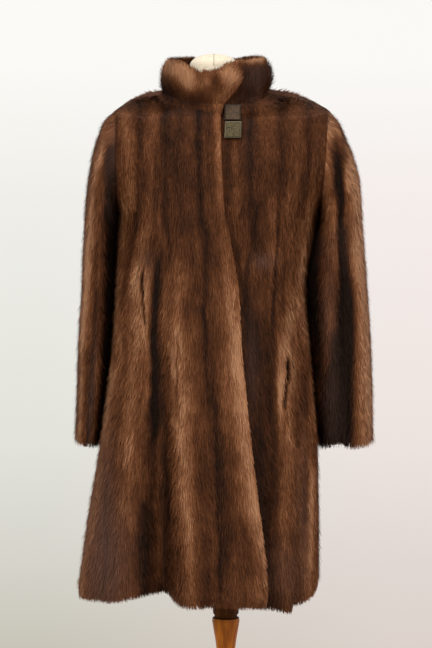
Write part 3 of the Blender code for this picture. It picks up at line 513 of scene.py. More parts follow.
def strandShape():  # one hair lock, root at the origin and tip along x
    mesh = bpy.data.meshes.new("strandShape")
    tip = fur["tipWidth"] / 2
    mesh.from_pydata([(0, 0.5, 0), (0, -0.5, 0), (1, -tip, 0), (1, tip, 0)], [], [(0, 1, 2, 3)])
    mesh.shade_smooth()
    setAttribute(mesh, "tip", np.array([0.0, 0.0, 1.0, 1.0]))
    return addObject("strandShape", mesh)


def put(tree, kind, inputs=(), **settings):
    made = tree.nodes.new(kind)
    for key, value in settings.items():
        setattr(made, key, value)
    for key, value in dict(inputs).items():
        if isinstance(value, bpy.types.NodeSocket):
            tree.links.new(value, made.inputs[key])
        else:
            made.inputs[key].default_value = value
    return made


def maths(tree, operation, *values):
    return put(tree, "ShaderNodeMath", enumerate(values), operation=operation).outputs[0]


def buildFurTree():
    tree = bpy.data.node_groups.new("furStrands", "GeometryNodeTree")
    kinds = {"Geometry": "Geometry", "Strand": "Object", "Seed": "Int", "Material": "Material"}
    for name in (*kinds, "Spacing", "Density", "Length", "Width", "Lean", "Spread", "Roll", "Loose"):
        tree.interface.new_socket(name, in_out="INPUT", socket_type="NodeSocket" + kinds.get(name, "Float"))
    tree.interface.new_socket("Geometry", in_out="OUTPUT", socket_type="NodeSocketGeometry")
    node, calc = partial(put, tree), partial(maths, tree)
    given, out = node("NodeGroupInput").outputs, node("NodeGroupOutput")

    def field(name, kind="FLOAT"):
        return node("GeometryNodeInputNamedAttribute", {"Name": name}, data_type=kind).outputs["Attribute"]

    def randomly(low, high, seed):
        seedNow = node("FunctionNodeIntegerMath", {0: given["Seed"], 1: seed}, operation="ADD").outputs[0]
        inputs = {"Seed": seedNow, 2: low, 3: high}
        return node("FunctionNodeRandomValue", inputs, data_type="FLOAT").outputs[1]

    def around(name, seed):  # as far to one side as to the other
        return randomly(calc("MULTIPLY", given[name], -1.0), given[name], seed)

    scattered = node("GeometryNodeDistributePointsOnFaces", {
        "Mesh": given["Geometry"], "Distance Min": given["Spacing"], "Density Max": given["Density"],
        "Density Factor": field("thick"), "Seed": given["Seed"],
    }, distribute_method="POISSON")
    stored = node("GeometryNodeStoreNamedAttribute", {
        "Geometry": scattered.outputs["Points"], "Name": "vary", "Value": randomly(0.0, 1.0, 11),
    }, data_type="FLOAT", domain="POINT")
    upright = node("FunctionNodeAlignRotationToVector", {"Vector": field("up", "FLOAT_VECTOR")}, axis="Z")
    along = node("FunctionNodeAlignRotationToVector", {
        "Rotation": upright.outputs[0], "Vector": field("nap", "FLOAT_VECTOR"),
    }, axis="X", pivot_axis="Z")
    lean = calc("MULTIPLY", calc("MULTIPLY", given["Lean"], -1.0), field("lift"))
    loose = calc("POWER", randomly(0.0, 1.0, 2), fur["closeness"])  # a few hairs stand off
    off = calc("ADD", fur["closest"], calc("MULTIPLY", given["Loose"], loose))
    turn = node("ShaderNodeCombineXYZ", {
        "X": around("Roll", 1), "Y": calc("MULTIPLY", lean, off), "Z": around("Spread", 3),
    })
    asTurn = node("FunctionNodeEulerToRotation", {"Euler": turn.outputs[0]})
    turned = node("FunctionNodeRotateRotation", {
        "Rotation": along.outputs[0], "Rotate By": asTurn.outputs[0],
    }, rotation_space="LOCAL")
    length = calc("MULTIPLY", calc("MULTIPLY", given["Length"], field("long")), randomly(*fur["lengths"], 4))
    width = calc("MULTIPLY", given["Width"], randomly(*fur["widths"], 5))
    size = node("ShaderNodeCombineXYZ", {"X": length, "Y": width, "Z": width})
    strand = node("GeometryNodeObjectInfo", {"Object": given["Strand"], "As Instance": True})
    placed = node("GeometryNodeInstanceOnPoints", {
        "Points": stored.outputs[0], "Instance": strand.outputs["Geometry"],
        "Rotation": turned.outputs[0], "Scale": size.outputs[0],
    })
    real = node("GeometryNodeRealizeInstances", {"Geometry": placed.outputs[0]})
    dressed = node("GeometryNodeSetMaterial", {"Geometry": real.outputs[0], "Material": given["Material"]})
    tree.links.new(dressed.outputs[0], out.inputs[0])
    return tree


def rootsFrom(layers):  # the leather that fur grows on, as one mesh: points, faces, places and fields
    points, faces, places, fields, start = [], [], [], {}, 0
    for grid, (top, bottom), values in layers:
        count = grid.shape[0] * grid.shape[1]
        quads, at = gridQuads(*grid.shape[:2], False)
        points.append(grid.reshape(-1, 3))
        faces.append(quads + start)
        places.append(at * (1, bottom - top) + (0, top))
        for key, value in values.items():
            fields.setdefault(key, []).append(value.reshape(count, -1))
        start += count
    return (
        np.concatenate(points), np.concatenate(faces), np.concatenate(places),
        {key: np.concatenate(value).squeeze() for key, value in fields.items()},
    )


def withFringe(sheet, normal, values):  # the sheet, and short strips inside its wall along its lower edge
    last = fur["fringeRows"]
    layers = [(sheet, (0.0, 1.0), values)]
    for depth in fur["fringe"]:
        part = {key: value[-last:] for key, value in values.items()}
        layers.append((sheet[-last:] - normal[-last:] * depth, (1 - last / len(sheet), 1.0), part))
    return layers


def growFur(name, layers, density, spacing, seed, extent, width=1.0):
    points, faces, places, fields = rootsFrom(layers)
    roots = meshFrom(name + "Roots", points, faces.tolist())
    upwards = np.empty(3 * len(points), np.float32)
    roots.vertices.foreach_get("normal", upwards)
    fields.setdefault("up", upwards.reshape(-1, 3))
    at = np.zeros((len(points), 2))
    at[faces.ravel()] = places.reshape(-1, 2)
    fields.update(sheetAcross=at[:, 0], sheetDown=at[:, 1])
    for key, values in fields.items():
        setAttribute(roots, key, values)
    grown = addObject(name + "Roots", roots)
    modifier = grown.modifiers.new("fur", "NODES")
    modifier.node_group = furTree
    keys = {s.name: s.identifier for s in furTree.interface.items_tree if s.in_out == "INPUT"}
    for key, value in {
        "Strand": strand, "Spacing": spacing, "Density": density, "Length": fur["length"],
        "Width": fur["width"] * width, "Loose": fur["loose"], "Seed": seed, "Material": furStrands,
        **{key.capitalize(): math.radians(fur[key]) for key in ("lean", "spread", "roll")},
    }.items():
        modifier[keys[key]] = value
    graph = bpy.context.evaluated_depsgraph_get()
    mesh = bpy.data.meshes.new_from_object(grown.evaluated_get(graph), depsgraph=graph)
    mesh.name = name
    grown.modifiers.clear()
    bpy.data.objects.remove(grown)
    count = len(mesh.vertices)
    across, down = np.empty(count, np.float32), np.empty(count, np.float32)
    mesh.attributes["sheetAcross"].data.foreach_get("value", across)
    mesh.attributes["sheetDown"].data.foreach_get("value", down)
    corner = np.arange(count) % 4  # every lock is baked from its own small patch of the sheet's map
    halfWidth = 0.5 * fur["width"] * width / extent[0]
    across += np.where((corner == 0) | (corner == 3), -halfWidth, halfWidth)
    down += np.where(corner > 1, fur["length"] / extent[1], 0.0)
    uv = onMap("strands", np.stack([across, down], axis=1).clip(0, 1))
    loops = np.empty(len(mesh.loops), np.int32)
    mesh.loops.foreach_get("vertex_index", loops)
    layer = mesh.uv_layers.new(name="OFBake")
    layer.uv.foreach_set("vector", uv[loops].astype(np.float32).ravel())
    for key in ("sheetAcross", "sheetDown", "nap", "up", "lift", "long", "thick"):
        mesh.attributes.remove(mesh.attributes[key])
    print(name, 2 * len(mesh.polygons), "triangles of fur")
    return addObject(name, mesh)


def newMaterial(name, **sockets):
    made = bpy.data.materials.new(name)
    made.use_nodes = True
    shader = made.node_tree.nodes["Principled BSDF"]
    for key, value in sockets.items():
        shader.inputs[key.replace("_", " ")].default_value = value
    return made, made.node_tree, shader


def rampOf(tree, factor, stops):
    made = put(tree, "ShaderNodeValToRGB", {"Fac": factor})
    elements = made.color_ramp.elements
    while len(elements) < len(stops):
        elements.new(0.5)
    for element, (place, colour) in zip(elements, stops):
        element.position, element.color = place, (*colour, 1)
    return made.outputs["Color"]


def mixColours(tree, factor, a, b):
    inputs = {0: factor}
    for key, value in ((6, a), (7, b)):
        inputs[key] = value if isinstance(value, bpy.types.NodeSocket) else (*value, 1)
    return put(tree, "ShaderNodeMix", inputs, data_type="RGBA").outputs[2]


def attributeOf(tree, name):
    return put(tree, "ShaderNodeAttribute", attribute_name=name).outputs["Fac"]


def sheetPlace(tree):
    return put(tree, "ShaderNodeUVMap", uv_map="OFBake").outputs[0]


def objectPlace(tree):
    return put(tree, "ShaderNodeTexCoord").outputs["Object"]


def axesOf(tree, vector):
    return put(tree, "ShaderNodeSeparateXYZ", {"Vector": vector}).outputs


def noiseOf(tree, place, stretch, detail, distortion=0.0):  # uneven lines along the axes with a small stretch
    drawn = put(tree, "ShaderNodeMapping", {"Vector": place, "Scale": stretch}).outputs[0]
    return put(tree, "ShaderNodeTexNoise", {
        "Vector": drawn, "Scale": 1.0, "Detail": detail, "Distortion": distortion,
    }).outputs[0]


def setColour(tree, shader, colour):
    tree.links.new(colour, shader.inputs["Base Color"])


def setBump(tree, shader, height, strength, distance):
    bump = put(tree, "ShaderNodeBump", {"Height": height, "Strength": strength, "Distance": distance})
    tree.links.new(bump.outputs[0], shader.inputs["Normal"])


furColours = {
    "pelt": [
        (0.0, (0.009, 0.0050, 0.0037)), (0.25, (0.036, 0.0128, 0.0060)), (0.5, (0.087, 0.0300, 0.0118)),
        (0.75, (0.187, 0.0725, 0.0305)), (1.0, (0.380, 0.190, 0.099)),
    ],
    # greyish purple for the cool patches; on the fronts and sleeves these are painted sheen
    "cool": (0.105, 0.056, 0.043),
    "mostCool": 0.75,
    "gloss": (1.0, 0.62, 0.42, 1),
    # what a value from 0 to 1 is multiplied by, and what is added, for its share of the tone
    "vary": (0.26, -0.13),
    # tip: painted shade darkens each lock towards its root and a painted highlight lightens its tip
    "tip": (0.10, -0.05),
    "hairs": (0.4, -0.32),
}


def partOfTone(tree, key, value):
    return maths(tree, "MULTIPLY_ADD", value, *furColours[key])


def peltColour(tree, added):
    tone = maths(tree, "ADD", attributeOf(tree, "tone"), added)
    warm = rampOf(tree, tone, furColours["pelt"])
    # the cool share is painted sheen on the fronts and sleeves
    share = maths(tree, "MULTIPLY", attributeOf(tree, "cool"), furColours["mostCool"])
    return mixColours(tree, share, warm, furColours["cool"])


def makeFurStrands():
    made, tree, shader = newMaterial(
        "furStrands", Roughness=0.5, Specular_IOR_Level=0.07, Specular_Tint=furColours["gloss"],
    )
    # each lock's random shade, with its painted root shade and tip highlight
    added = maths(tree, "ADD", *(partOfTone(tree, key, attributeOf(tree, key)) for key in ("vary", "tip")))
    setColour(tree, shader, peltColour(tree, added))
    return made


def makeUnderFur():
    made, tree, shader = newMaterial("underFur", Roughness=0.8, Specular_IOR_Level=0.05)
    hairs = noiseOf(tree, sheetPlace(tree), stretch=(420, 40, 1), detail=3.0)
    setColour(tree, shader, peltColour(tree, partOfTone(tree, "hairs", hairs)))
    setBump(tree, shader, hairs, strength=0.5, distance=0.001)
    return made


def makeGrained(name, place, stretch, detail, stops, bump=None, distortion=0.0, **sockets):
    made, tree, shader = newMaterial(name, **sockets)
    grain = noiseOf(tree, place(tree), stretch, detail, distortion)
    setColour(tree, shader, rampOf(tree, grain, stops))
    if bump is not None:
        setBump(tree, shader, grain, *bump)
    return made


print("materials")
furStrands, underFur = makeFurStrands(), makeUnderFur()
lining = makeGrained(
    "satinLining", sheetPlace, stretch=(600, 120, 1), detail=2.0, bump=(0.15, 0.0004),
    stops=[(0.3, (0.050, 0.026, 0.016)), (0.7, (0.085, 0.046, 0.028))], Roughness=0.42, Sheen_Weight=0.2,
)
strand, furTree = strandShape(), buildFurTree()

camera = {"place": (-0.0177, -3.6, 1.22), "aim": (-0.0177, 0.0, 1.0378), "tall": 1.157, "sensor": 36}


def turnTo(aim, place):
    return (Vector(aim) - Vector(place)).to_track_quat("-Z", "Y").to_euler()


def addCamera():
    data = bpy.data.cameras.new("camera")
    made = addObject("camera", data)
    made.location = camera["place"]
    made.rotation_euler = turnTo(camera["aim"], camera["place"])
    data.sensor_fit, data.sensor_width = "AUTO", camera["sensor"]
    data.lens = data.sensor_width * (Vector(camera["aim"]) - made.location).length / camera["tall"]
    bpy.context.scene.camera = made


addCamera()

fronts = {
    "rows": (10, 36, 92),  # steps from the neck, over the armhole and down the skirt
    "rightSteps": 151,
    "leftSteps": 89,
    "lapSteps": 24,
    "edgeInset": 0.012,  # the leather ends this share of the front's width short of the fur's edge
    "overLap": (24, 7, 4),  # columns over the width, the one where the step falls, and its run
    "underLap": (12, 0.3, 2.7),
    "bareLap": -0.08,  # no hair grows beyond this column, under the right front
    "tone": 0.46,
    "seed": 71,
    "lockSeed": 3,
    "rightFur": {"density": 1200000, "spacing": 0.00128, "seed": 1, "extent": (0.40, 0.9)},
    "leftFur": {"density": 1200000, "spacing": 0.00122, "seed": 2, "extent": (0.35, 0.9)},
    # painted highlight along the right front's rolled free edge
    "rolledEdgeHighlight": {
        "inset": 0.003,
        "strength": (0.08, 0.20, 0.12),  # everywhere, more low down and more high up
        "width": (0.006, 0.003),  # everywhere, and more low down
        "low": (1.16, -0.2),  # heights where they begin and their runs
        "high": (1.30, 0.06),
        "top": (1.45, -0.1),
    },
    # strength, half width, height and x down the line, and how far it sinks
    # The dark lines are partly the pelts' own dark stripes and partly painted shade: in the creases between
    # the flutes, beside the sleeves and in the pocket slit. The light lines are partly the pelts' lighter
    # flanks and partly painted highlights down the flutes' ridges.
    "rightLines": [
        (-0.22, 0.006, [(1.47, -0.146), (1.357, -0.146), (1.259, -0.154), (1.08, -0.18)], 0.001),
        (-0.26, 0.007, [
            (1.47, -0.097), (1.331, -0.102), (1.259, -0.102), (1.188, -0.094), (1.09, -0.118),
        ], 0.001),
        (-0.6, 0.006, [(1.17, -0.108), (1.116, -0.12), (0.973, -0.121), (0.85, -0.12)]),
        (-0.34, 0.016, [(1.02, -0.122), (0.902, -0.118), (0.777, -0.113), (0.688, -0.11), (0.5, -0.104)]),
        (-0.28, 0.007, [
            (1.46, -0.04), (1.331, -0.042), (1.259, -0.038), (1.188, -0.03), (1.0, -0.031),
        ], 0.001),
        (-0.32, 0.002, [(0.86, -0.012), (0.723, -0.008), (0.6, -0.003), (0.52, 0.0)], 0.001),
        (-0.22, 0.002, [(1.081, -0.031), (0.99, -0.029), (0.9, -0.0265)], 0.001),
        (-0.32, 0.0022, [(1.02, -0.0786), (0.89, -0.078)], 0.001),
        (-0.14, 0.006, [(1.42, -0.189), (1.28, -0.197)], 0.0006),
        (-0.35, 0.0022, [(0.8, -0.209), (0.66, -0.209), (0.53, -0.211)], 0.0012),
        (-1.1, 0.0022, [(1.137, -0.1446), (1.1, -0.143), (1.045, -0.138)], 0.003),
        (0.1, 0.01, [(1.48, -0.123), (1.331, -0.127), (1.18, -0.132)]),
        (0.08, 0.01, [(1.46, -0.07), (1.295, -0.07), (1.15, -0.064)]),
        (0.23, 0.0115, [
            (1.16, -0.074), (1.0, -0.083), (0.902, -0.074), (0.813, -0.068), (0.7, -0.062), (0.5, -0.054),
        ]),
        (0.14, 0.007, [(1.46, -0.01), (1.259, -0.004), (1.116, 0.012)]),
        (0.22, 0.013, [
            (1.16, 0.004), (1.045, 0.014), (0.902, 0.026), (0.813, 0.034), (0.72, 0.048), (0.52, 0.062),
        ]),
        (0.28, 0.014, [(1.14, -0.158), (1.045, -0.155), (0.94, -0.16), (0.866, -0.165), (0.7, -0.175)]),
        (-0.12, 0.016, [(0.84, -0.036), (0.7, -0.034), (0.52, -0.03)]),
        (0.24, 0.0116, [
            (1.25, -0.184), (1.188, -0.1857), (1.134, -0.1875), (1.081, -0.1911), (1.027, -0.1875),
            (0.973, -0.1929), (0.92, -0.2018), (0.866, -0.2125), (0.813, -0.2161),
        ]),
        (0.16, 0.0107, [(0.973, -0.1965), (0.92, -0.2036), (0.866, -0.2143), (0.831, -0.2161)]),
        (0.2, 0.0125, [(1.424, -0.175), (1.349, -0.1679), (1.295, -0.1679), (1.232, -0.175)]),
        (0.17, 0.0107, [(1.215, -0.1429), (1.161, -0.1518), (1.116, -0.159)]),
        (0.26, 0.0089, [
            (1.149, -0.1357), (1.081, -0.1357), (1.027, -0.134), (0.973, -0.1286), (0.92, -0.1304),
            (0.881, -0.1375),
        ]),
        (-0.2, 0.0143, [
            (1.438, -0.0732), (1.402, -0.0768), (1.349, -0.0822), (1.295, -0.0732), (1.241, -0.0697),
            (1.188, -0.0697), (1.149, -0.0643),
        ]),
        (-0.14, 0.0071, [(1.17, -0.0536), (1.102, -0.0464)]),
        (-0.12, 0.0089, [(1.366, -0.1214), (1.322, -0.1197), (1.277, -0.1197), (1.241, -0.1232)]),
        (0.16, 0.0071, [
            (1.206, -0.1018), (1.134, -0.1036), (1.081, -0.1036), (1.027, -0.1018), (0.991, -0.0964),
        ]),
        (0.12, 0.0214, [
            (1.013, -0.0786), (0.973, -0.075), (0.92, -0.0661), (0.866, -0.0643), (0.813, -0.0607),
            (0.759, -0.0572), (0.688, -0.0536), (0.634, -0.0482),
        ]),
        (0.05, 0.0089, [(0.995, -0.0839), (0.902, -0.0804), (0.813, -0.0804), (0.688, -0.0804)]),
        (-0.25, 0.0125, [
            (1.0, -0.0214), (0.92, -0.0161), (0.866, -0.0107), (0.813, -0.0054), (0.759, -0.0018),
            (0.706, 0.0), (0.652, 0.0036), (0.589, 0.0),
        ]),
        (-0.2, 0.0161, [(0.697, 0.0393), (0.643, 0.0482), (0.589, 0.0518)]),
        (-0.36, 0.011, [(0.732, -0.14), (0.67, -0.1393), (0.589, -0.1393), (0.55, -0.1375)]),
        (0.34, 0.0071, [(0.87, -0.1107), (0.759, -0.1143), (0.67, -0.1143), (0.572, -0.1143)]),
        (-0.16, 0.0143, [(0.786, -0.1697), (0.759, -0.1697), (0.729, -0.1697)]),
        (0.15, 0.0089, [(0.723, -0.1679), (0.702, -0.1661), (0.679, -0.1661)]),
        (0.32, 0.0125, [
            (0.804, -0.2179), (0.759, -0.2268), (0.706, -0.234), (0.652, -0.2411), (0.598, -0.25),
            (0.554, -0.2518),
        ]),
        (0.17, 0.0107, [
            (1.107, 0.0161), (1.027, 0.0196), (0.973, 0.0232), (0.92, 0.0286), (0.866, 0.0321),
            (0.813, 0.0393), (0.759, 0.0464), (0.706, 0.0536), (0.652, 0.0607), (0.595, 0.0714),
        ]),
        (-0.14, 0.0089, [(1.209, -0.125), (1.17, -0.125), (1.149, -0.1143)]),
        (0.17, 0.0071, [
            (1.268, -0.1875), (1.215, -0.1875), (1.161, -0.1893), (1.107, -0.1929), (1.045, -0.1965),
            (0.973, -0.2036), (0.902, -0.2107),
        ]),
        (0.13, 0.0125, [(1.149, -0.1572), (1.081, -0.1411), (1.009, -0.134), (0.902, -0.1304)]),
        (-0.24, 0.0071, [(0.902, -0.1), (0.848, -0.0973), (0.777, -0.0964), (0.688, -0.0929)]),
        (0.13, 0.0143, [(1.045, -0.075), (0.973, -0.0679), (0.893, -0.0643)]),
        (0.1, 0.0161, [(1.125, 0.05), (1.009, 0.0572), (0.866, 0.0714)]),
        (0.14, 0.0107, [(1.0, 0.0071), (0.938, 0.0054), (0.884, 0.0036), (0.831, 0.0071)]),
        (0.14, 0.0107, [(1.116, 0.0321), (1.063, 0.0375), (0.991, 0.0447), (0.902, 0.0589)]),
        (-0.14, 0.0071, [(1.438, -0.1322), (1.402, -0.1304), (1.374, -0.1286)]),
        (-0.12, 0.0071, [(1.431, -0.0714), (1.399, -0.0714), (1.374, -0.0714)]),
        (-0.12, 0.0071, [(1.431, -0.0196), (1.399, -0.0196), (1.374, -0.0196)]),
        (0.14, 0.0107, [(0.947, -0.0607), (0.92, -0.0554), (0.893, -0.0518)]),
    ],
    "leftLines": [
        # The first two lines are the painted shadow that the right front casts beside its edge. The rest are
        # pelt stripes and flanks, with painted shade in the creases and in the narrow sunken slit, and
        # painted highlights on the ridges.
        (-0.22, 0.006, [(1.46, 0.01), (1.31, 0.012), (1.24, 0.016), (1.1, 0.04)]),
        (-0.4, 0.019, [(1.08, 0.05), (0.902, 0.06), (0.777, 0.07), (0.688, 0.08), (0.52, 0.094)]),
        (0.1, 0.006, [(1.36, 0.022), (1.26, 0.029), (1.14, 0.04)]),
        (-0.24, 0.007, [(1.46, 0.052), (1.331, 0.05), (1.2, 0.056)], 0.001),
        (-0.24, 0.006, [(1.27, 0.068), (1.19, 0.056), (1.14, 0.044), (1.04, 0.042)], 0.001),
        (0.1, 0.01, [(1.46, 0.075), (1.3, 0.078), (1.14, 0.09)]),
        (-0.22, 0.006, [(1.47, 0.105), (1.33, 0.105), (1.2, 0.1)], 0.001),
        (0.1, 0.01, [(1.48, 0.13), (1.3, 0.128), (1.12, 0.124)]),
        (-0.22, 0.006, [(1.47, 0.155), (1.36, 0.157), (1.24, 0.148)], 0.001),
        (-0.38, 0.0025, [(1.22, 0.102), (1.12, 0.095), (1.03, 0.091)], 0.0012),
        (-1.3, 0.0027, [(0.985, 0.1175), (0.945, 0.116), (0.9, 0.1125)], 0.0036),
        (0.28, 0.006, [(1.03, 0.101), (0.92, 0.102), (0.82, 0.102)]),
        (0.24, 0.013, [(0.99, 0.122), (0.89, 0.122), (0.8, 0.116), (0.7, 0.108), (0.54, 0.098)]),
        (0.16, 0.005, [(0.82, 0.158), (0.68, 0.158), (0.55, 0.156)]),
        (0.32, 0.0107, [
            (1.259, 0.1643), (1.232, 0.159), (1.188, 0.1518), (1.134, 0.1447), (1.081, 0.1411),
            (1.027, 0.15), (0.973, 0.159), (0.92, 0.1643), (0.866, 0.1661),
        ]),
        (0.3, 0.0107, [
            (1.113, 0.1214), (1.081, 0.125), (1.027, 0.1179), (0.973, 0.1089), (0.92, 0.1072),
            (0.893, 0.1072),
        ]),
        (0.14, 0.0071, [(0.988, 0.1286), (0.938, 0.1286)]),
        (-0.24, 0.0098, [
            (1.048, 0.0822), (1.0, 0.0857), (0.947, 0.0857), (0.902, 0.0893), (0.848, 0.0964),
            (0.795, 0.0982), (0.732, 0.0982),
        ]),
        (-0.1, 0.0089, [(0.831, 0.1179), (0.759, 0.1143), (0.67, 0.1125)]),
        (0.17, 0.0089, [
            (0.84, 0.1411), (0.759, 0.1393), (0.706, 0.1393), (0.652, 0.1393), (0.598, 0.1447),
            (0.559, 0.15),
        ]),
        (0.28, 0.0089, [(0.795, 0.159), (0.706, 0.1607), (0.652, 0.1607), (0.589, 0.159)]),
        (-0.15, 0.0125, [
            (1.424, 0.0607), (1.384, 0.0625), (1.349, 0.0714), (1.286, 0.075), (1.232, 0.075),
            (1.166, 0.0697),
        ]),
        (-0.12, 0.0107, [(1.424, 0.1214), (1.393, 0.1232), (1.349, 0.1179), (1.281, 0.1179)]),
        (0.18, 0.0089, [(1.274, 0.0947), (1.232, 0.0964), (1.179, 0.0964), (1.149, 0.0982)]),
        (-0.15, 0.0089, [(1.277, 0.0375), (1.232, 0.0357), (1.17, 0.0321)]),
        (0.12, 0.0071, [(1.259, 0.0143), (1.191, 0.0196)]),
        (0.13, 0.0089, [(0.959, 0.0607), (0.911, 0.0625), (0.863, 0.0572)]),
        (-0.26, 0.0071, [(1.009, 0.1482), (0.965, 0.15), (0.92, 0.1518), (0.884, 0.15)]),
        (-0.17, 0.0071, [(0.786, 0.15), (0.741, 0.15), (0.688, 0.15)]),
        (0.14, 0.0089, [(0.697, 0.0875), (0.643, 0.0911), (0.563, 0.0929)]),
        (0.13, 0.0143, [(1.072, 0.1179), (1.027, 0.1179), (0.991, 0.1161)]),
    ],
    # strength, x, height, half width, half height
    "rightTone": [
        (-0.07, -0.06, 1.33, 0.11, 0.09), (-0.06, -0.01, 1.22, 0.06, 0.07), (0.05, -0.15, 1.12, 0.04, 0.1),
    ],
    "leftTone": [(-0.06, 0.07, 1.34, 0.09, 0.09), (-0.05, 0.10, 1.06, 0.05, 0.08)],
    # strength, x, height, half width, half height
    # painted sheen: greyish-purple patches where the fur catches the light, most on the right front's hem
    "rightCool": [
        (0.85, -0.212, 0.62, 0.04, 0.12), (0.4, -0.135, 1.158, 0.012, 0.022),
        (0.4, -0.21, 0.78, 0.016, 0.12),
    ],
    "leftCool": [
        (0.8, 0.075, 1.16, 0.02, 0.012), (0.5, 0.146, 0.7, 0.009, 0.12), (0.35, 0.055, 0.98, 0.012, 0.08),
        (0.4, 0.115, 0.6, 0.03, 0.05),
    ],
}
backSheet = {
    "steps": 147,
    "tone": 0.47,
    "lockSeed": 7,
    "mostCool": 0.5,
    "coolSeed": 9,
    "fur": {"density": 800000, "spacing": 0.00162, "seed": 3, "extent": (0.7, 0.9), "width": 1.25},
    # strength, half width, row and place across (-1 right seam, 1 left seam), and how far it sinks
    "lines": [
        (strength, width, [(0.0, c * 0.9), (1.0, c * 0.92), (2.0, c), (3.0, c * 1.01)], sink)
        for strength, width, sink, places in (
            (-0.40, 0.030, 0.0012, (-0.88, -0.66, -0.44, -0.22, 0.0, 0.22, 0.44, 0.66, 0.88)),
            (0.16, 0.050, 0.0, (-0.77, -0.55, -0.33, -0.11, 0.11, 0.33, 0.55, 0.77)),
        ) for c in places
    ],
}


def rowsOf(steps):
    neck, chest, skirt = steps
    return np.concatenate([
        np.linspace(0, 1, neck + 1)[:-1], np.linspace(1, 2, chest + 1)[:-1],
        np.linspace(2, 3, skirt + 1),
    ])


def napDown(sheet, up, rows, facing):  # straight down over the shoulders, and along the panel below them
    along = unit(np.gradient(sheet, axis=0))
    fall = np.array([0.0, facing * fur["fall"], -1.0])
    flat = unit(fall - (up @ fall)[..., None] * up)
    share = fade(rows, *fur["fallTo"])[:, None, None]
    return unit(flat * (1 - share) + along * share)


def aroundBody(grid):  # how far round the body a point lies, so that streaks run straight up over a shoulder
    middle, half, squareness = sidesAt(grid[..., 2])
    across = np.clip((grid[..., 0] - middle) / half, -1, 1)
    return fur["bodyRadius"] * np.arcsin(powered(across, squareness / 2))


def outwardsOf(grid, rows, facing, seams, lap):  # the neck line and the seams stay in their own planes
    normal = normalsOf(grid)
    if facing < 0:  # near the neck the lap moves out along the neck line and not upwards
        lapped = np.abs(lap) / max(np.abs(lap).max(), 1e-9)
        for row in np.flatnonzero(rows < 1.0)[1:]:
            level = (1 - rows[row]) * lapped[:, None]
            normal[row] = unit(normal[row] * (1 - level) + planePart(normal[row], neckPlane()) * level)
    normal[0] = planePart(normal[0], neckPlane())
    for k in seams:
        normal[:, k] = planePart(normal[:, k], (0, 1, 0))
        normal[0, k] = (math.copysign(1, grid[0, k, 0]), 0, 0)
    return normal


def furnish(name, rows, columns, facing, seams, lap, fieldsOf, growth, freeEdge=False):
    turned = -1 if facing > 0 else 1  # the back's columns run the other way, so that its fur is outside
    laps, places = lap[::turned], columns[::turned]
    gap = body["gap"]

    def keepSide(wall, k):  # a seam stays half a gap on its own side
        wall[:, k, 1] = facing * np.maximum(facing * wall[:, k, 1], gap / 2)

    def parts(rows, whole):
        grid, reach = (values[:, ::turned] for values in bodyGrid(columns, rows, facing, whole))
        normal = outwardsOf(grid, rows, facing, seams, laps)
        fields, sink = fieldsOf(grid, rows, places)
        nearSeam = bell(np.clip(reach, 0, 1), 1, fur["seamReach"])
        below = fade(rows, *fur["seamFrom"])[:, None] * fade(rows, *fur["seamTo"])[:, None]
        depth = fur["depth"] + (fur["seamDepth"] - fur["depth"]) * nearSeam * below
        outer = grid + normal * (laps[None, :] - depth - sink)[..., None]
        for k in seams:
            keepSide(outer, k)
        return grid, reach, normal, fields, nearSeam, outer

    grid, _, normal, fields, _, outer = parts(rows, False)
    inner = grid + normal * (laps[None, :] - body["wall"])[..., None]
    holes = (rows >= 1) & (rows <= 2)
    for k in seams:
        side = -1 if grid[-1, k, 0] < 0 else 1
        for wall, inset in ((outer, fur["depth"]), (inner, body["wall"])):
            x, y, height = armhole(np.pi * (rows[holes] - 1), side, inset)
            x = x - side * body["armholeGap"] * gap
            wall[holes, k] = np.stack([x, facing * np.maximum(y, gap / 2), height], axis=-1)
            keepSide(wall, k)
    shell = shellPiece(name, outer, inner, False, fields)

    # The fur's own grid has even rows and runs on over the armholes, where no hair grows.
    even = np.where((rows > 1) & (rows < 2), 1 + np.arccos(np.clip(3 - 2 * rows, -1, 1)) / np.pi, rows)
    grid, reach, normal, fields, nearSeam, outer = parts(even, True)
    up = softened(normal, fur["evenings"])
    overShoulder = bell(even, *fur["shoulder"])[:, None] + 0 * reach
    atArmhole = nearSeam * fade(even, *fur["armholeFrom"])[:, None] * fade(even, *fur["armholeTo"])[:, None]
    nap = napDown(outer, up, even, facing)
    shorter = 1.0 - fur["shorter"] * np.maximum(overShoulder, atArmhole)
    if freeEdge:  # at the free edge the fur is combed a little outwards
        across = unit(np.gradient(outer, axis=1))
        near = np.exp(-np.linalg.norm(outer - outer[:, -1:], axis=-1) / fur["edgeReach"])
        nap = unit(nap + across * (fur["edgeTurn"] * near)[..., None])
        shorter = shorter * (1.0 - fur["edgeShorter"] * near)
    atHem = ease((even - even[-1] + fur["hemRun"]) / fur["hemRun"])[:, None] + 0 * reach
    values = {
        "nap": nap, "up": up, "tone": fields["tone"], "cool": fields["cool"],
        "thick": fields["thick"] * fade(reach, *fur["bareFrom"]),
        "lift": (1.0 - fur["hemDrop"] * atHem) * (1.0 - fur["closer"] * overShoulder),
        "long": (1.0 - fur["hemShorter"] * atHem) * shorter,
    }
    return shell, growFur(name + "_fur", withFringe(outer, normal, values), **growth)


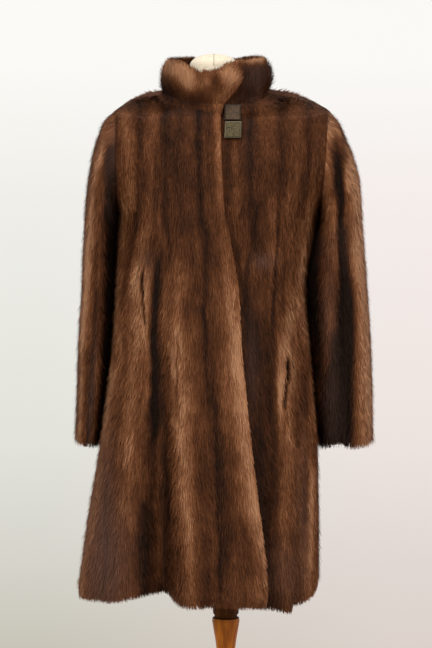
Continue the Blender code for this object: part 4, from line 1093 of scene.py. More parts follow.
def frontFields(side):
    def fields(grid, rows, columns):
        x, z = seenFromFront(grid)
        # the lines give the pelts' stripes together with painted shade and painted highlights
        tone, sink = strokes(wavering(x, z, fronts["seed"]), z, fronts[side + "Lines"])
        cool = np.clip(blobs(x, z, fronts[side + "Cool"]), 0, 1)
        locks = uneven("locks", aroundBody(grid), -z, fronts["lockSeed"])
        tone = fronts["tone"] + tone + locks + blobs(x, z, fronts[side + "Tone"])
        if side == "right":  # a painted highlight runs along the rolled free edge
            edge = fronts["rolledEdgeHighlight"]
            off = np.linalg.norm(grid - grid[:, -1:], axis=-1)
            low, high = fade(z, *edge["low"]), fade(z, *edge["high"])
            least, lowMore, highMore = edge["strength"]
            narrow, wider = edge["width"]
            strength = least + lowMore * low + highMore * high
            tone = tone + strength * bell(off, edge["inset"], narrow + wider * low) * fade(z, *edge["top"])
        thick = np.ones(grid.shape[:2])
        if side == "left":  # none where the right front lies over it
            thick = thick * np.where(columns[None, :] < fronts["bareLap"], 0.0, 1.0)
        return {"tone": tone, "cool": cool, "thick": thick}, sink
    return fields


def backFields(grid, rows, columns):
    c = np.broadcast_to(columns[None, :], grid.shape[:2])
    r = np.broadcast_to(rows[:, None], grid.shape[:2])
    tone, sink = strokes(c, r, backSheet["lines"])
    u, z = aroundBody(grid), grid[..., 2]
    tone = backSheet["tone"] + tone + uneven("locks", u, -z, backSheet["lockSeed"])
    cool = coolPatches(u, -z, backSheet["mostCool"], backSheet["coolSeed"])
    return {"tone": tone, "cool": cool, "thick": np.ones(grid.shape[:2])}, sink


print("fronts and back")
rows = rowsOf(fronts["rows"])
lapHalf = (body["wall"] + body["lapGap"]) / 2
rightColumns = np.linspace(-1, -fronts["edgeInset"], fronts["rightSteps"])
leftColumns = np.concatenate([
    np.linspace(-body["lapShare"], 0, fronts["lapSteps"] + 1)[:-1], np.linspace(0, 1, fronts["leftSteps"]),
])
backColumns = np.linspace(-1, 1, backSheet["steps"])
overSteps, *overRun = fronts["overLap"]
underSteps, *underRun = fronts["underLap"]
overLap = lapHalf * (1 - fade(-rightColumns * overSteps, *overRun))
underLap = -lapHalf * (1 - fade(leftColumns * underSteps, *underRun))
frontRight, frontRightFur = furnish(
    "front_right_shell", rows, rightColumns, -1, [0], overLap, frontFields("right"), fronts["rightFur"], True,
)
frontLeft, frontLeftFur = furnish(
    "front_left_shell", rows, leftColumns, -1, [-1], underLap, frontFields("left"), fronts["leftFur"],
)
backShell, backFur = furnish(
    "back_shell", rows, backColumns, 1, [0, -1], np.zeros(len(backColumns)), backFields, backSheet["fur"],
)

sleeves = {
    "ringSteps": 92,
    "rows": 103,
    "cuffShort": 0.008,
    "cuffFrom": (0.8, 0.2),  # shares of the length, each where it begins and its run
    "cuffEdge": (0.955, 0.045),
    "headTo": (0.06, -0.06),
    "insideFrom": (0.0, 0.012),
    "inside": (180, 45),  # angle and half width of the side that touches the body
    "foldRun": 0.3,
    "frontFrom": (0.0, 0.35),  # sine of the angle where the front side's strokes begin, and its run
    "girth": 0.36,
    "length": 0.6,
    "tone": 0.45,
    "seed": 75,
    "lockSeed": 20,
    "mostCool": 0.4,
    "coolSeed": 40,
    "rightFur": {"density": 1200000, "spacing": 0.00130, "seed": 4, "extent": (0.36, 0.60)},
    "leftFur": {"density": 1200000, "spacing": 0.00130, "seed": 5, "extent": (0.36, 0.60)},
    # outer x, outer height, inner x, inner height, half depth, middle y, from the armhole to the cuff
    "right": [
        (0.187, 1.4236, 0.184, 1.235, 0.082, 0.0), (0.208, 1.401, 0.1847, 1.232, 0.083, 0.0),
        (0.222, 1.369, 0.1849, 1.228, 0.084, 0.0), (0.232, 1.334, 0.185, 1.221, 0.084, 0.001),
        (0.239, 1.293, 0.1852, 1.21, 0.084, 0.002), (0.244, 1.248, 0.1855, 1.193, 0.083, 0.004),
        (0.247, 1.199, 0.186, 1.167, 0.082, 0.006), (0.25, 1.149, 0.187, 1.133, 0.081, 0.008),
        (0.252, 1.098, 0.1888, 1.089, 0.08, 0.01), (0.256, 1.043, 0.1914, 1.038, 0.079, 0.012),
        (0.259, 0.988, 0.195, 0.985, 0.078, 0.014), (0.261, 0.933, 0.2005, 0.93, 0.077, 0.016),
        (0.263, 0.879, 0.2068, 0.876, 0.076, 0.018), (0.265, 0.834, 0.211, 0.831, 0.075, 0.02),
        (0.264, 0.827, 0.2125, 0.824, 0.074, 0.02),
    ],
    "left": [
        (0.187, 1.4236, 0.172, 1.235, 0.082, 0.0), (0.206, 1.4, 0.1716, 1.232, 0.082, -0.001),
        (0.22, 1.37, 0.171, 1.228, 0.082, -0.002), (0.234, 1.336, 0.1696, 1.221, 0.081, -0.003),
        (0.245, 1.295, 0.1675, 1.21, 0.08, -0.004), (0.249, 1.248, 0.164, 1.193, 0.079, -0.005),
        (0.252, 1.199, 0.1588, 1.167, 0.077, -0.006), (0.256, 1.149, 0.1543, 1.133, 0.075, -0.007),
        (0.26, 1.098, 0.1512, 1.089, 0.073, -0.008), (0.264, 1.043, 0.1536, 1.038, 0.072, -0.009),
        (0.267, 0.988, 0.1577, 0.985, 0.071, -0.01), (0.269, 0.933, 0.1612, 0.93, 0.07, -0.01),
        (0.27, 0.879, 0.1647, 0.876, 0.069, -0.01), (0.271, 0.834, 0.1675, 0.831, 0.068, -0.01),
        (0.27, 0.827, 0.169, 0.824, 0.067, -0.01),
    ],
    # five angles from the armhole to the cuff, half width, push, where it begins and ends
    "rightFolds": [
        (76, 76, 74, 78, 82, 16, -0.005, 0.25, 1.3), (104, 105, 106, 108, 110, 15, 0.003, 0.35, 1.3),
        (262, 260, 259, 257, 256, 18, -0.006, 0.2, 1.3), (300, 300, 300, 301, 301, 16, 0.003, 0.3, 1.3),
    ],
    "leftFolds": [
        (80, 86, 76, 88, 104, 16, -0.014, 0.08, 1.3), (50, 48, 44, 46, 52, 17, 0.004, 0.15, 1.3),
        (124, 122, 116, 122, 136, 15, 0.004, 0.2, 1.3), (268, 270, 272, 274, 276, 17, -0.009, 0.2, 1.3),
    ],
    # strength, half width in degrees, share of the length and angle (0 outside, 90 front), and the sink
    # Painted shade makes the inner side black in the crease against the body and darkens the hollows of the
    # folds. The light bands along the outer and front sides are painted highlights. The sunken dark lines and
    # the light lines at the back are the pelts' stripes.
    "rightLines": [
        (0.24, 8, [(0.0, 64), (0.1, 62), (0.33, 55), (0.5, 46), (0.6, 45), (0.8, 50), (1.0, 56)]),
        (0.18, 22, [(0.1, 50), (0.5, 44), (0.7, 48), (1.0, 52)]),
        (-0.16, 10, [(0.0, 6), (1.0, 2)]),
        (-1.2, 27, [(0.08, 158), (0.3, 150), (0.6, 148), (1.0, 154)]),
        (-0.22, 12, [(0.55, 92), (0.75, 90), (1.0, 92)]),
        (-0.35, 8, [(0.0, 240), (1.0, 236)], 0.001),
        (-0.35, 8, [(0.0, 300), (1.0, 300)], 0.001),
        (0.15, 12, [(0.0, 270), (1.0, 268)]),
        (0.12, 10, [(0.0, 330), (1.0, 330)]),
    ],
    "leftLines": [
        (0.4, 24, [(0.2, 40), (0.5, 36), (0.8, 36), (1.0, 38)]),
        (-0.1, 8, [(0.0, 2), (1.0, 2)]),
        (-0.9, 11, [(0.1, 80), (0.33, 87), (0.42, 81), (0.54, 75), (0.71, 86), (0.81, 94), (1.0, 104)]),
        (-0.9, 22, [(0.66, 96), (0.81, 98), (0.94, 108), (1.0, 110)]),
        (-1.2, 22, [(0.05, 172), (0.3, 168), (0.45, 160), (0.57, 154), (0.7, 160), (1.0, 154)]),
        (-0.35, 8, [(0.0, 240), (1.0, 236)], 0.001),
        (-0.35, 8, [(0.0, 305), (1.0, 305)], 0.001),
        (0.15, 12, [(0.0, 270), (1.0, 272)]),
        (0.12, 10, [(0.0, 335), (1.0, 335)]),
    ],
    # strength, half width, then height and x, on the front side only
    # Painted highlights and painted shade as the front shows them: light streaks where the sleeves catch the
    # light and a lit rim along the left sleeve's inner edge, and dark shade in the gap beside the body and in
    # the fold.
    "rightSeen": [
        (-0.55, 0.0098, [
            (1.363, -0.1947), (1.331, -0.1947), (1.299, -0.1947), (1.268, -0.1947), (1.232, -0.2018),
        ]),
        (0.24, 0.0107, [(1.431, -0.1929), (1.399, -0.1965), (1.363, -0.2072), (1.327, -0.2143)]),
        (0.3, 0.0089, [(0.991, -0.2161), (0.938, -0.2215), (0.884, -0.2233), (0.831, -0.225)]),
        (0.26, 0.0089, [
            (1.268, -0.234), (1.215, -0.234), (1.17, -0.2375), (1.116, -0.2411), (1.063, -0.2465),
            (1.0, -0.2536),
        ]),
        (-0.12, 0.0125, [(1.0, -0.2393), (0.938, -0.2358), (0.866, -0.2393), (0.822, -0.2429)]),
        (0.14, 0.0089, [(1.161, -0.2036), (1.081, -0.2072), (1.009, -0.2072)]),
    ],
    "leftSeen": [
        (0.26, 0.0089, [
            (1.429, 0.1857), (1.384, 0.1857), (1.349, 0.1804), (1.295, 0.184), (1.241, 0.1822),
            (1.202, 0.1786),
        ]),
        (-0.25, 0.0089, [(1.381, 0.2036), (1.349, 0.2036), (1.313, 0.2018)]),
        (0.25, 0.0107, [(1.375, 0.2286), (1.322, 0.225), (1.277, 0.2179)]),
        (0.22, 0.0143, [
            (1.322, 0.234), (1.241, 0.2429), (1.188, 0.2447), (1.134, 0.2429), (1.081, 0.2483),
            (1.027, 0.2518), (0.973, 0.2465), (0.92, 0.2465), (0.831, 0.2483),
        ]),
        (0.22, 0.0089, [(1.268, 0.1965), (1.188, 0.2036), (1.149, 0.2036)]),
        (-0.6, 0.0116, [
            (1.099, 0.2197), (1.027, 0.2197), (0.973, 0.2107), (0.929, 0.2018), (0.884, 0.2), (0.831, 0.2),
        ]),
        (0.2, 0.0071, [(1.063, 0.1911), (1.018, 0.1929), (0.965, 0.1893)]),
        (0.3, 0.0107, [(1.445, 0.175), (1.411, 0.1893), (1.384, 0.2), (1.357, 0.209)]),
        (0.85, 0.0054, [
            (1.081, 0.1527), (1.045, 0.159), (1.0, 0.1634), (0.956, 0.167), (0.902, 0.1706), (0.84, 0.1715),
        ]),
        (0.26, 0.0089, [(1.438, 0.1768), (1.393, 0.1804), (1.349, 0.1768), (1.327, 0.175)]),
        (-0.18, 0.008, [(1.37, 0.1965), (1.345, 0.1982), (1.286, 0.1965)]),
        (0.14, 0.0071, [(1.331, 0.2143), (1.277, 0.2161), (1.224, 0.2143)]),
    ],
    # strength, angle, share of the length, half width, half length
    # painted sheen: greyish-purple patches on the front of each sleeve
    "rightCool": [(0.5, 92, 0.80, 12, 0.12)],
    "leftCool": [(0.35, 112, 0.62, 14, 0.12)],
}


def sleeveGrid(key, side, share, turns):
    table = np.array(sleeves[key])
    table = np.column_stack([np.linspace(0, 1, len(table)), table])
    outX, outZ, inX, inZ, depth, middleY = (smooth(table, k, share)[:, None] for k in range(1, 7))
    x = (outX + inX) / 2 + (outX - inX) / 2 * np.cos(turns)
    z = (outZ + inZ) / 2 + (outZ - inZ) / 2 * np.cos(turns)
    return np.stack([side * x, middleY - depth * np.sin(turns) + 0 * x, z], axis=-1)


def makeSleeve(name, key, side):
    growth = sleeves[key + "Fur"]
    steps = sleeves["ringSteps"]
    share = np.linspace(0, 1, sleeves["rows"])[:, None]
    turns = np.arange(steps) * 2 * math.pi / steps
    degrees = np.degrees(turns)[None, :]
    grid = sleeveGrid(key, side, share[:, 0], turns)
    push = np.zeros(grid.shape[:2])
    for *angles, width, amount, begins, ends in sleeves[key + "Folds"]:
        line = smooth(np.column_stack([np.linspace(0, 1, len(angles)), angles]), 1, share)
        along = fade(share, begins, sleeves["foldRun"]) * fade(share, ends, -sleeves["foldRun"])
        push += amount * along * bell(wrap(degrees - line), 0, width)
    grid = grid + (normalsOf(grid, True) * -side) * push[..., None]
    across, down = np.broadcast_to(degrees, push.shape), np.broadcast_to(share, push.shape)
    # pelt stripes, painted shade in the crease against the body and in the folds, and painted highlights
    tone, sink = strokes(across, down, sleeves[key + "Lines"])
    u, v = across / 360 * sleeves["girth"], down * sleeves["length"]
    x, z = seenFromFront(grid)
    # painted highlights and shade, placed as the front shows them
    seen = strokes(wavering(x, z, sleeves["seed"]), z, sleeves[key + "Seen"])[0]
    seen = seen * fade(np.sin(turns), *sleeves["frontFrom"])
    tone = sleeves["tone"] + tone + seen + uneven("locks", u, v, growth["seed"] + sleeves["lockSeed"])
    cool = coolPatches(u, v, sleeves["mostCool"], growth["seed"] + sleeves["coolSeed"])
    cool = np.clip(cool + blobs(across, down, sleeves[key + "Cool"]), 0, 1)
    grid[..., 2] += sleeves["cuffShort"] * fade(share, *sleeves["cuffFrom"])
    normal = normalsOf(grid, True) * -side
    inwards = bell(degrees, *sleeves["inside"]) * fade(share, *sleeves["insideFrom"])
    depth = fur["depth"] + (fur["seamDepth"] - fur["depth"]) * inwards
    outer = grid - normal * (depth + sink)[..., None]
    inner = grid - normal * body["wall"]
    for sheet, inset in ((outer, fur["depth"]), (inner, body["wall"])):
        x, y, height = armhole(turns, side, inset)
        sheet[0] = np.stack([x + side * body["armholeGap"] * body["gap"], -y, height], axis=-1)
    order = slice(None) if side < 0 else slice(None, None, -1)
    outer, inner, tone, cool, normal = (part[:, order] for part in (outer, inner, tone, cool, normal))
    shell = shellPiece(name, outer, inner, True, {"tone": tone, "cool": cool})
    outer, normal, tone, cool = (joined(part) for part in (outer, normal, tone, cool))
    atCuff = fade(share, *sleeves["cuffEdge"]) + 0 * tone
    values = {
        "nap": unit(np.gradient(outer, axis=0)), "up": normal, "tone": tone, "cool": cool,
        "thick": 0 * atCuff + 1, "lift": 1.0 - fur["hemDrop"] * atCuff,
        "long": 1.0 - fur["hemShorter"] * atCuff - fur["shorter"] * fade(share, *sleeves["headTo"]),
    }
    return shell, growFur(name + "_fur", withFringe(outer, normal, values), **growth)


print("sleeves")
sleeveRight, sleeveRightFur = makeSleeve("sleeve_right_shell", "right", -1)
sleeveLeft, sleeveLeftFur = makeSleeve("sleeve_left_shell", "left", 1)

collarBand = {
    "steps": 132,
    "wall": 0.014,
    "lapGap": 0.001,
    "inset": 0.004,
    "underEnd": -20.0,
    "crossing": (0.112, 0.878),  # shares of its length where it leaves the upper lap and meets the lower
    "furDepth": 0.0042,
    "bulge": (0.0055, 88, 34),  # how far the left side swells, at this angle, and half its width
    "bulgeFrom": (0.0, 0.35),  # shares of the height, each where it begins and its run
    "fallTo": (0.15, -0.08),  # below this the outer fur falls over the seam
    "topFrom": (0.75, 0.2),
    "thinEnds": (0.12, 12),  # square of the least thickness, and how quickly an end thins
    "radius": 0.1,  # turn an angle and a share of the height into lengths
    "tall": 0.07,
    "tone": 0.47,
    "insideDarker": 0.05,
    "frontHalf": 100,  # the angle to either side that the front's patches reach
    "lift": 1.5,
    "longs": (0.9, 0.35),  # length of the locks, and how much shorter they are at the top
    "falling": (0.7, 0.3),  # and how long where they turn to fall, and more elsewhere
    "outwards": 0.12,  # how far the locks lean out, and more towards the sides
    "sideways": 0.30,
    "swirlTurn": 60,  # degrees to one unit of the swirls' width
    "lockSeed": 51,
    "swirlSeed": 61,
    "fur": {"density": 2200000, "spacing": 0.00100, "seed": 6, "extent": (0.16, 0.6), "width": 0.8},
    # angle round the neck, how far the leather stops short of the top
    "topShort": [
        (-180, 0.009), (-150, 0.006), (-120, 0.003), (-100, 0.005), (-85, 0.008), (-60, 0.004),
        (-50, 0.003), (-15, 0.008), (10, 0.008), (45, 0.004), (60, 0.003), (85, 0.005), (105, 0.002),
        (120, -0.001), (146, 0.005), (165, 0.008), (180, 0.009),
    ],
    # angle round the neck, height
    "rise": [
        (-180, 0.04), (-120, 0.05), (-78, 0.066), (-45, 0.068), (-15, 0.062), (0, 0.066), (12, 0.076),
        (22, 0.078), (45, 0.07), (80, 0.066), (120, 0.05), (180, 0.04),
    ],
    # share of the height, size against the neck line
    "lean": [(0.0, 1.00), (0.25, 1.02), (0.55, 1.01), (0.8, 0.96), (1.0, 0.90)],
    # share of the height, angle that the upper end reaches
    "end": [(0.0, 3.0), (0.2, 10.0), (0.5, 21.0), (0.85, 21.0), (1.0, 17.0)],
    # share of the height, place across the wall, from the outer foot to the top; the inner side is its mirror
    "section": [
        (0.0, 0.92), (0.06, 0.97), (0.12, 1.0), (0.24, 1.0), (0.35, 1.0), (0.48, 1.0), (0.6, 1.0),
        (0.71, 1.0), (0.82, 1.0), (0.92, 0.92), (0.98, 0.62), (1.0, 0.0),
    ],
    # strength, angle, share of the height, half width, half height
    "patches": [
        (0.4, -52, 0.74, 20, 0.26), (0.3, -32, 0.5, 12, 0.22), (0.22, -14, 0.62, 6, 0.22),
        (0.36, 10, 0.62, 8, 0.42), (0.2, 0, 0.15, 6, 0.16), (-0.3, -4, 0.66, 2.6, 0.4),
        (-0.3, 1, 0.28, 2.4, 0.25), (-0.4, -62, 0.16, 22, 0.18), (-0.3, -26, 0.1, 14, 0.14),
        (-0.34, 48, 0.45, 24, 0.42), (-0.2, 30, 0.1, 14, 0.2), (0.75, 66, 1.0, 26, 0.14),
        (0.2, 40, 1.0, 16, 0.1), (-0.25, 95, 0.5, 14, 0.5), (0.32, -84, 0.72, 14, 0.24),
        (-0.2, -108, 0.5, 10, 0.5), (0.2, 125, 0.5, 14, 0.4), (0.2, -125, 0.5, 14, 0.4),
        (-0.3, 150, 0.5, 10, 0.6), (-0.3, -152, 0.5, 10, 0.6), (0.2, 178, 0.6, 14, 0.4),
    ],
    # strength, x, height, half width, half height, on the outer side at the front only
    "seen": [
        (0.52, -0.1018, 1.4896, 0.011, 0.019), (0.3, -0.0679, 1.4825, 0.0214, 0.0196),
        (0.26, -0.0572, 1.4539, 0.0125, 0.0196), (0.22, -0.0161, 1.4753, 0.0107, 0.0161),
        (0.28, 0.0018, 1.4789, 0.0125, 0.0196), (0.2, 0.0196, 1.4664, 0.0107, 0.0143),
        (0.3, 0.0321, 1.5021, 0.0143, 0.0071), (0.4, 0.0661, 1.5039, 0.0125, 0.0089),
        (0.2, -0.0071, 1.4361, 0.0089, 0.0143),
    ],
    "coolPatches": [(0.6, 50, 0.5, 20, 0.35)],
}
collarTables = {key: np.array(collarBand[key]) for key in ("rise", "topShort", "lean", "end")}


def neckLine(angle):
    right, left = bodyTables["yoke"][0, 1:3]
    radians = np.radians(angle)
    front, back = bodyTables["frontDepth"][0, 1], bodyTables["backDepth"][0, 1]
    depth = np.where(np.cos(radians) >= 0, front, back)
    return onNeckPlane(np.stack([
        (left + right) / 2 + (left - right) / 2 * np.sin(radians), -depth * np.cos(radians), 0 * radians,
    ], axis=-1))


def makeCollar(name):
    section = np.array(collarBand["section"])
    section = np.concatenate([section, section[-2::-1] * (1, -1)])
    way = np.linspace(0, 1, collarBand["steps"] + 1)[:, None]
    share, place = (section[:, k][None, :] + 0 * way for k in (0, 1))
    end = smooth(collarTables["end"], 1, share)
    angle = end + (collarBand["underEnd"] - 360 - end) * way
    wrapped = wrap(angle)
    right, left = bodyTables["yoke"][0, 1:3]
    centre = np.array([(right + left) / 2, 0, 0])
    base = neckLine(angle)
    size = smooth(collarTables["lean"], 1, share)
    points = centre + (base - centre) * np.stack([size, size, np.ones(size.shape)], axis=-1)
    rise = smooth(collarTables["rise"], 1, wrapped) - smooth(collarTables["topShort"], 1, wrapped)
    points[..., 2] += body["gap"] + rise * share
    halfStep = (collarBand["wall"] + collarBand["lapGap"]) / 2
    begins, ends = collarBand["crossing"]
    lap = halfStep * (1 - 2 * fade(way, begins, ends - begins))
    out = unit((base - centre) * (1, 1, 0))
    thinnest, steep = collarBand["thinEnds"]
    nearEnd = np.maximum(0, 1 - steep * np.minimum(way, 1 - way))
    thin = np.sqrt(np.maximum(thinnest, 1 - nearEnd**2))
    half = collarBand["wall"] / 2 - collarBand["furDepth"]
    swell, *swellAt = collarBand["bulge"]
    bulge = swell * bell(wrapped, *swellAt) * fade(share, *collarBand["bulgeFrom"])
    step = lap + bulge - collarBand["inset"] + place * half * thin
    points = points + out * step[..., None]
    points[..., 2] -= neckPlane()[1] * out[..., 1] * step
    tone = collarBand["tone"] + blobs(wrapped, share, collarBand["patches"])
    u, v = np.radians(wrapped) * collarBand["radius"], collarBand["tall"] * share
    tone += uneven("collarLocks", u, v, collarBand["lockSeed"])
    seen = blobs(*seenFromFront(points), collarBand["seen"])
    tone += np.where((place > 0) & (np.abs(wrapped) < collarBand["frontHalf"]), seen, 0.0)
    tone = np.where(place < 0, tone - collarBand["insideDarker"], tone)
    cool = np.clip(blobs(wrapped, share, collarBand["coolPatches"]), 0, 1)
    count, around = points.shape[:2]
    faces, places = gridQuads(count, around, True, flip=True)
    caps = []
    half = around // 2
    for first, flip in ((0, False), ((count - 1) * around, True)):  # each end closes with quads across it
        ring = [first + k for k in range(around)]
        pairs = [(ring[k], ring[k + 1], ring[-2 - k], ring[-1 - k]) for k in range(half - 1)]
        pairs.append((ring[half - 1], ring[half], ring[half + 1]))
        caps.extend(pair if flip else pair[::-1] for pair in pairs)
    uv = onMap("collar", places.reshape(-1, 2)).tolist() + [bakeMap["caps"]] * sum(len(cap) for cap in caps)
    mesh = meshFrom(name, points.reshape(-1, 3), faces.tolist() + caps, uv)
    setAttribute(mesh, "tone", tone.ravel())
    setAttribute(mesh, "cool", cool.ravel())
    mesh.materials.append(underFur)
    shell = addObject(name, mesh)
    points, out, turn, level, place, tone, cool = (
        joined(part)[:, ::-1] for part in (points, out, wrapped, share, place, tone, cool)
    )
    up = np.zeros(points.shape)
    up[..., 2] = 1.0
    swirl = uneven("swirl", turn / collarBand["swirlTurn"], level, collarBand["swirlSeed"])
    outwards = collarBand["outwards"] + collarBand["sideways"] * np.abs(np.sin(np.radians(turn)))
    rising = 1 - 2 * fade(level, *collarBand["fallTo"]) * (place > 0)  # at the base the outer fur falls
    across = unit(np.cross(up, out))
    nap = unit(up * rising[..., None] + out * outwards[..., None] + across * swirl[..., None])
    even = np.ones(turn.shape)
    full, topLess = collarBand["longs"]
    least, more = collarBand["falling"]
    long = even * (full - topLess * fade(level, *collarBand["topFrom"])) * (least + more * np.abs(rising))
    values = {
        "nap": nap, "tone": tone, "cool": cool, "thick": even, "long": long,
        "lift": even * collarBand["lift"],
    }
    return shell, growFur(name + "_fur", [(points, (0.0, 1.0), values)], **collarBand["fur"])


print("collar")
collar, collarFur = makeCollar("collar_shell")

hardware = {
    "cell": 300.0,  # sizes of the bronze's mottling, and where dark, light and dark lie on it
    "grain": 420.0,
    "mottle": (0.08, 0.26, 0.42),
    "rim": 0.0022,
    "seamWidth": 0.0007,  # the seam over the neck's cap
    "seamStrength": 0.7,
    "seamColour": (0.08, 0.05, 0.03),
    "threads": ((900, 900, 90), (90, 90, 900)),
    "linen": [(0.75, (0.50, 0.42, 0.30)), (1.25, (0.66, 0.58, 0.45))],
    "steel": [(0.3, (0.30, 0.29, 0.28)), (0.7, (0.48, 0.47, 0.46))],
}


def assign(node, material):
    nodes[node].data.materials.clear()
    nodes[node].data.materials.append(material)


def apart(tree, value, middle):
    return maths(tree, "ABSOLUTE", maths(tree, "SUBTRACT", value, middle))


def makeBronze(name, node, dark, light, rim):
    made, tree, shader = newMaterial(name, Roughness=0.42, Metallic=0.85)
    place = objectPlace(tree)
    low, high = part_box(node)
    parts = axesOf(tree, place)
    nears = []
    for axis, a, b in (("X", low.x, high.x), ("Z", low.z, high.z)):  # 1 on the raised rim, 0 inside it
        away = apart(tree, parts[axis], (a + b) / 2)
        nears.append(maths(tree, "GREATER_THAN", away, (b - a) / 2 - hardware["rim"]))
    pattern = lambda kind, **inputs: put(tree, kind, {"Vector": place, **inputs}).outputs[0]
    cells = pattern("ShaderNodeTexVoronoi", Scale=hardware["cell"])
    grain = pattern("ShaderNodeTexNoise", Scale=hardware["grain"], Detail=4.0)
    both = maths(tree, "MULTIPLY", cells, grain)
    mottled = rampOf(tree, both, list(zip(hardware["mottle"], (dark, light, dark))))
    setColour(tree, shader, mixColours(tree, maths(tree, "MAXIMUM", *nears), mottled, rim))
    setBump(tree, shader, both, strength=0.6, distance=0.0008)
    return made


def makeLinen(name, seamAt=None):
    made, tree, shader = newMaterial(name, Roughness=0.85, Specular_IOR_Level=0.2, Sheen_Weight=0.15)
    place = objectPlace(tree)
    threads = [noiseOf(tree, place, stretch, detail=2.0) for stretch in hardware["threads"]]
    weave = maths(tree, "ADD", *threads)
    colour = rampOf(tree, weave, hardware["linen"])
    if seamAt is not None:
        seam = maths(tree, "LESS_THAN", apart(tree, axesOf(tree, place)["X"], seamAt), hardware["seamWidth"])
        soft = maths(tree, "MULTIPLY", seam, hardware["seamStrength"])
        colour = mixColours(tree, soft, colour, hardware["seamColour"])
    setColour(tree, shader, colour)
    setBump(tree, shader, weave, strength=0.25, distance=0.0004)
    return made


def makeWood(name, dark, light, roughness, gloss):
    return makeGrained(
        name, objectPlace, stretch=(90, 90, 6), detail=6.0, distortion=0.6, bump=(0.08, 0.0006),
        stops=[(0.35, dark), (0.62, light)], Roughness=roughness, Specular_IOR_Level=2 * gloss,
        Coat_Weight=gloss, Coat_Roughness=0.2,
    )


print("clasp, form and stand")
low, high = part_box("form_cap")
assign("clasp_upper", makeBronze(
    "bronzeDark", "clasp_upper", (0.018, 0.012, 0.007), (0.070, 0.043, 0.025), (0.034, 0.023, 0.015),
))
assign("clasp_lower", makeBronze(
    "bronzeOlive", "clasp_lower", (0.018, 0.015, 0.008), (0.078, 0.060, 0.028), (0.13, 0.108, 0.068),
))
assign("form_torso", makeLinen("formLinen"))
assign("form_cap", makeLinen("capLinen", (low.x + high.x) / 2))
assign("stand_rod", makeGrained(
    "rodSteel", objectPlace, stretch=(40, 40, 900), detail=3.0, stops=hardware["steel"],
    Roughness=0.3, Metallic=1.0,
))
assign("stand_ring", makeWood("darkWood", (0.036, 0.0110, 0.0018), (0.090, 0.0290, 0.0050), 0.5, 0.02))
orange = makeWood("standWood", (0.20, 0.050, 0.002), (0.44, 0.130, 0.006), 0.35, 0.06)
assign("stand_column", orange)
assign("stand_base", orange)

# shell, fur, the CAD piece they stand for, its flat size, its area
panels = (
    (frontRight, frontRightFur, "front_right", (0.40, 0.90), 0.29),
    (frontLeft, frontLeftFur, "front_left", (0.38, 0.92), 0.27),
    (backShell, backFur, "back", (0.62, 0.92), 0.46),
    (sleeveRight, sleeveRightFur, "sleeve_right", (0.36, 0.60), 0.18),
    (sleeveLeft, sleeveLeftFur, "sleeve_left", (0.36, 0.60), 0.19),
    (collar, collarFur, "collar", (0.56, 0.068), None),
)
for shell, strands, node, flat, area in panels:
    for piece in (shell, strands):
        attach(piece, "root")
    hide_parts(node)
bpy.data.objects.remove(strand)

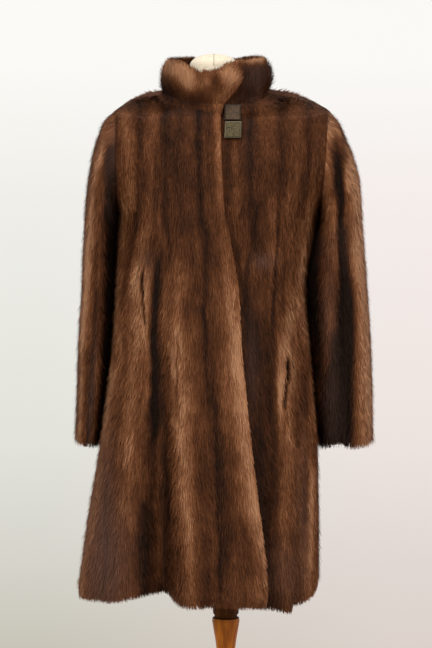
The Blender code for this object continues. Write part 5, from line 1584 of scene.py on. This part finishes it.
studio = {
    "floor": (-9.0, 1.9, 9.0),  # front, back, half width
    "floorBlend": 0.5,
    "aim": (0, 0, 1.05),
    "floorLeft": (0.495, 0.488, 0.440),
    "floorRight": (0.620, 0.578, 0.557),
    "lowest": -0.25,  # upright parts of the view's directions where the soft backdrop begins and ends
    "highest": 0.10,
    "sideways": 0.085,
    # share of that height, colour
    "backdropLeft": [
        (0.12, (0.578, 0.552, 0.479)), (0.235, (0.665, 0.651, 0.591)), (0.4, (0.761, 0.761, 0.701)),
        (0.745, (0.863, 0.855, 0.815)), (0.94, (0.965, 0.956, 0.921)),
    ],
    "backdropRight": [
        (0.12, (0.716, 0.644, 0.597)), (0.235, (0.753, 0.68, 0.644)), (0.4, (0.839, 0.768, 0.73)),
        (0.745, (0.913, 0.847, 0.823)), (0.94, (0.956, 0.947, 0.921)),
    ],
    # place, size, power, colour
    "lights": [
        ((-1.7, -2.4, 2.5), 1.6, 60.0, (1.0, 0.97, 0.93)), ((2.1, -1.8, 1.9), 1.8, 34.0, (1.0, 0.97, 0.95)),
        ((0.0, -1.2, 3.2), 2.2, 26.0, (1.0, 1.0, 1.0)),
    ],
    "roomLight": (0.75, 0.739, 0.724),
}


def shareOf(tree, value, low, high):
    return put(tree, "ShaderNodeMapRange", {
        "Value": value, "From Min": low, "From Max": high, "To Min": 0.0, "To Max": 1.0,
    }).outputs[0]


def addFloor():
    front, back, width = studio["floor"]
    points = [(-width, front, 0), (width, front, 0), (width, back, 0), (-width, back, 0)]
    mesh = bpy.data.meshes.new("floor")
    mesh.from_pydata(points, [], [(0, 1, 2, 3)])
    made, tree, shader = newMaterial("paperFloor", Roughness=0.9, Specular_IOR_Level=0.1)
    side = shareOf(tree, axesOf(tree, objectPlace(tree))["X"], -studio["floorBlend"], studio["floorBlend"])
    setColour(tree, shader, mixColours(tree, side, studio["floorLeft"], studio["floorRight"]))
    mesh.materials.append(made)
    addObject("floor", mesh)


def addLights():
    for k, (place, size, power, colour) in enumerate(studio["lights"]):
        data = bpy.data.lights.new(f"softLight{k}", "AREA")
        data.energy, data.size, data.color = power, size, colour
        made = addObject(f"softLight{k}", data)
        made.location = place
        made.rotation_euler = turnTo(studio["aim"], place)


def addWorld():  # even light from all round, and a backdrop that darkens downwards
    world = bpy.data.worlds.new("studio")
    world.use_nodes = True
    tree = world.node_tree
    parts = axesOf(tree, put(tree, "ShaderNodeTexCoord").outputs["Generated"])
    height = shareOf(tree, parts["Z"], studio["lowest"], studio["highest"])
    side = shareOf(tree, parts["X"], -studio["sideways"], studio["sideways"])
    left, right = (rampOf(tree, height, studio[key]) for key in ("backdropLeft", "backdropRight"))
    seen = put(tree, "ShaderNodeLightPath").outputs["Is Camera Ray"]
    colour = mixColours(tree, seen, studio["roomLight"], mixColours(tree, side, left, right))
    tree.links.new(colour, tree.nodes["Background"].inputs["Color"])
    bpy.context.scene.world = world
    bpy.context.scene.view_settings.view_transform = "Standard"


addFloor()
addLights()
addWorld()
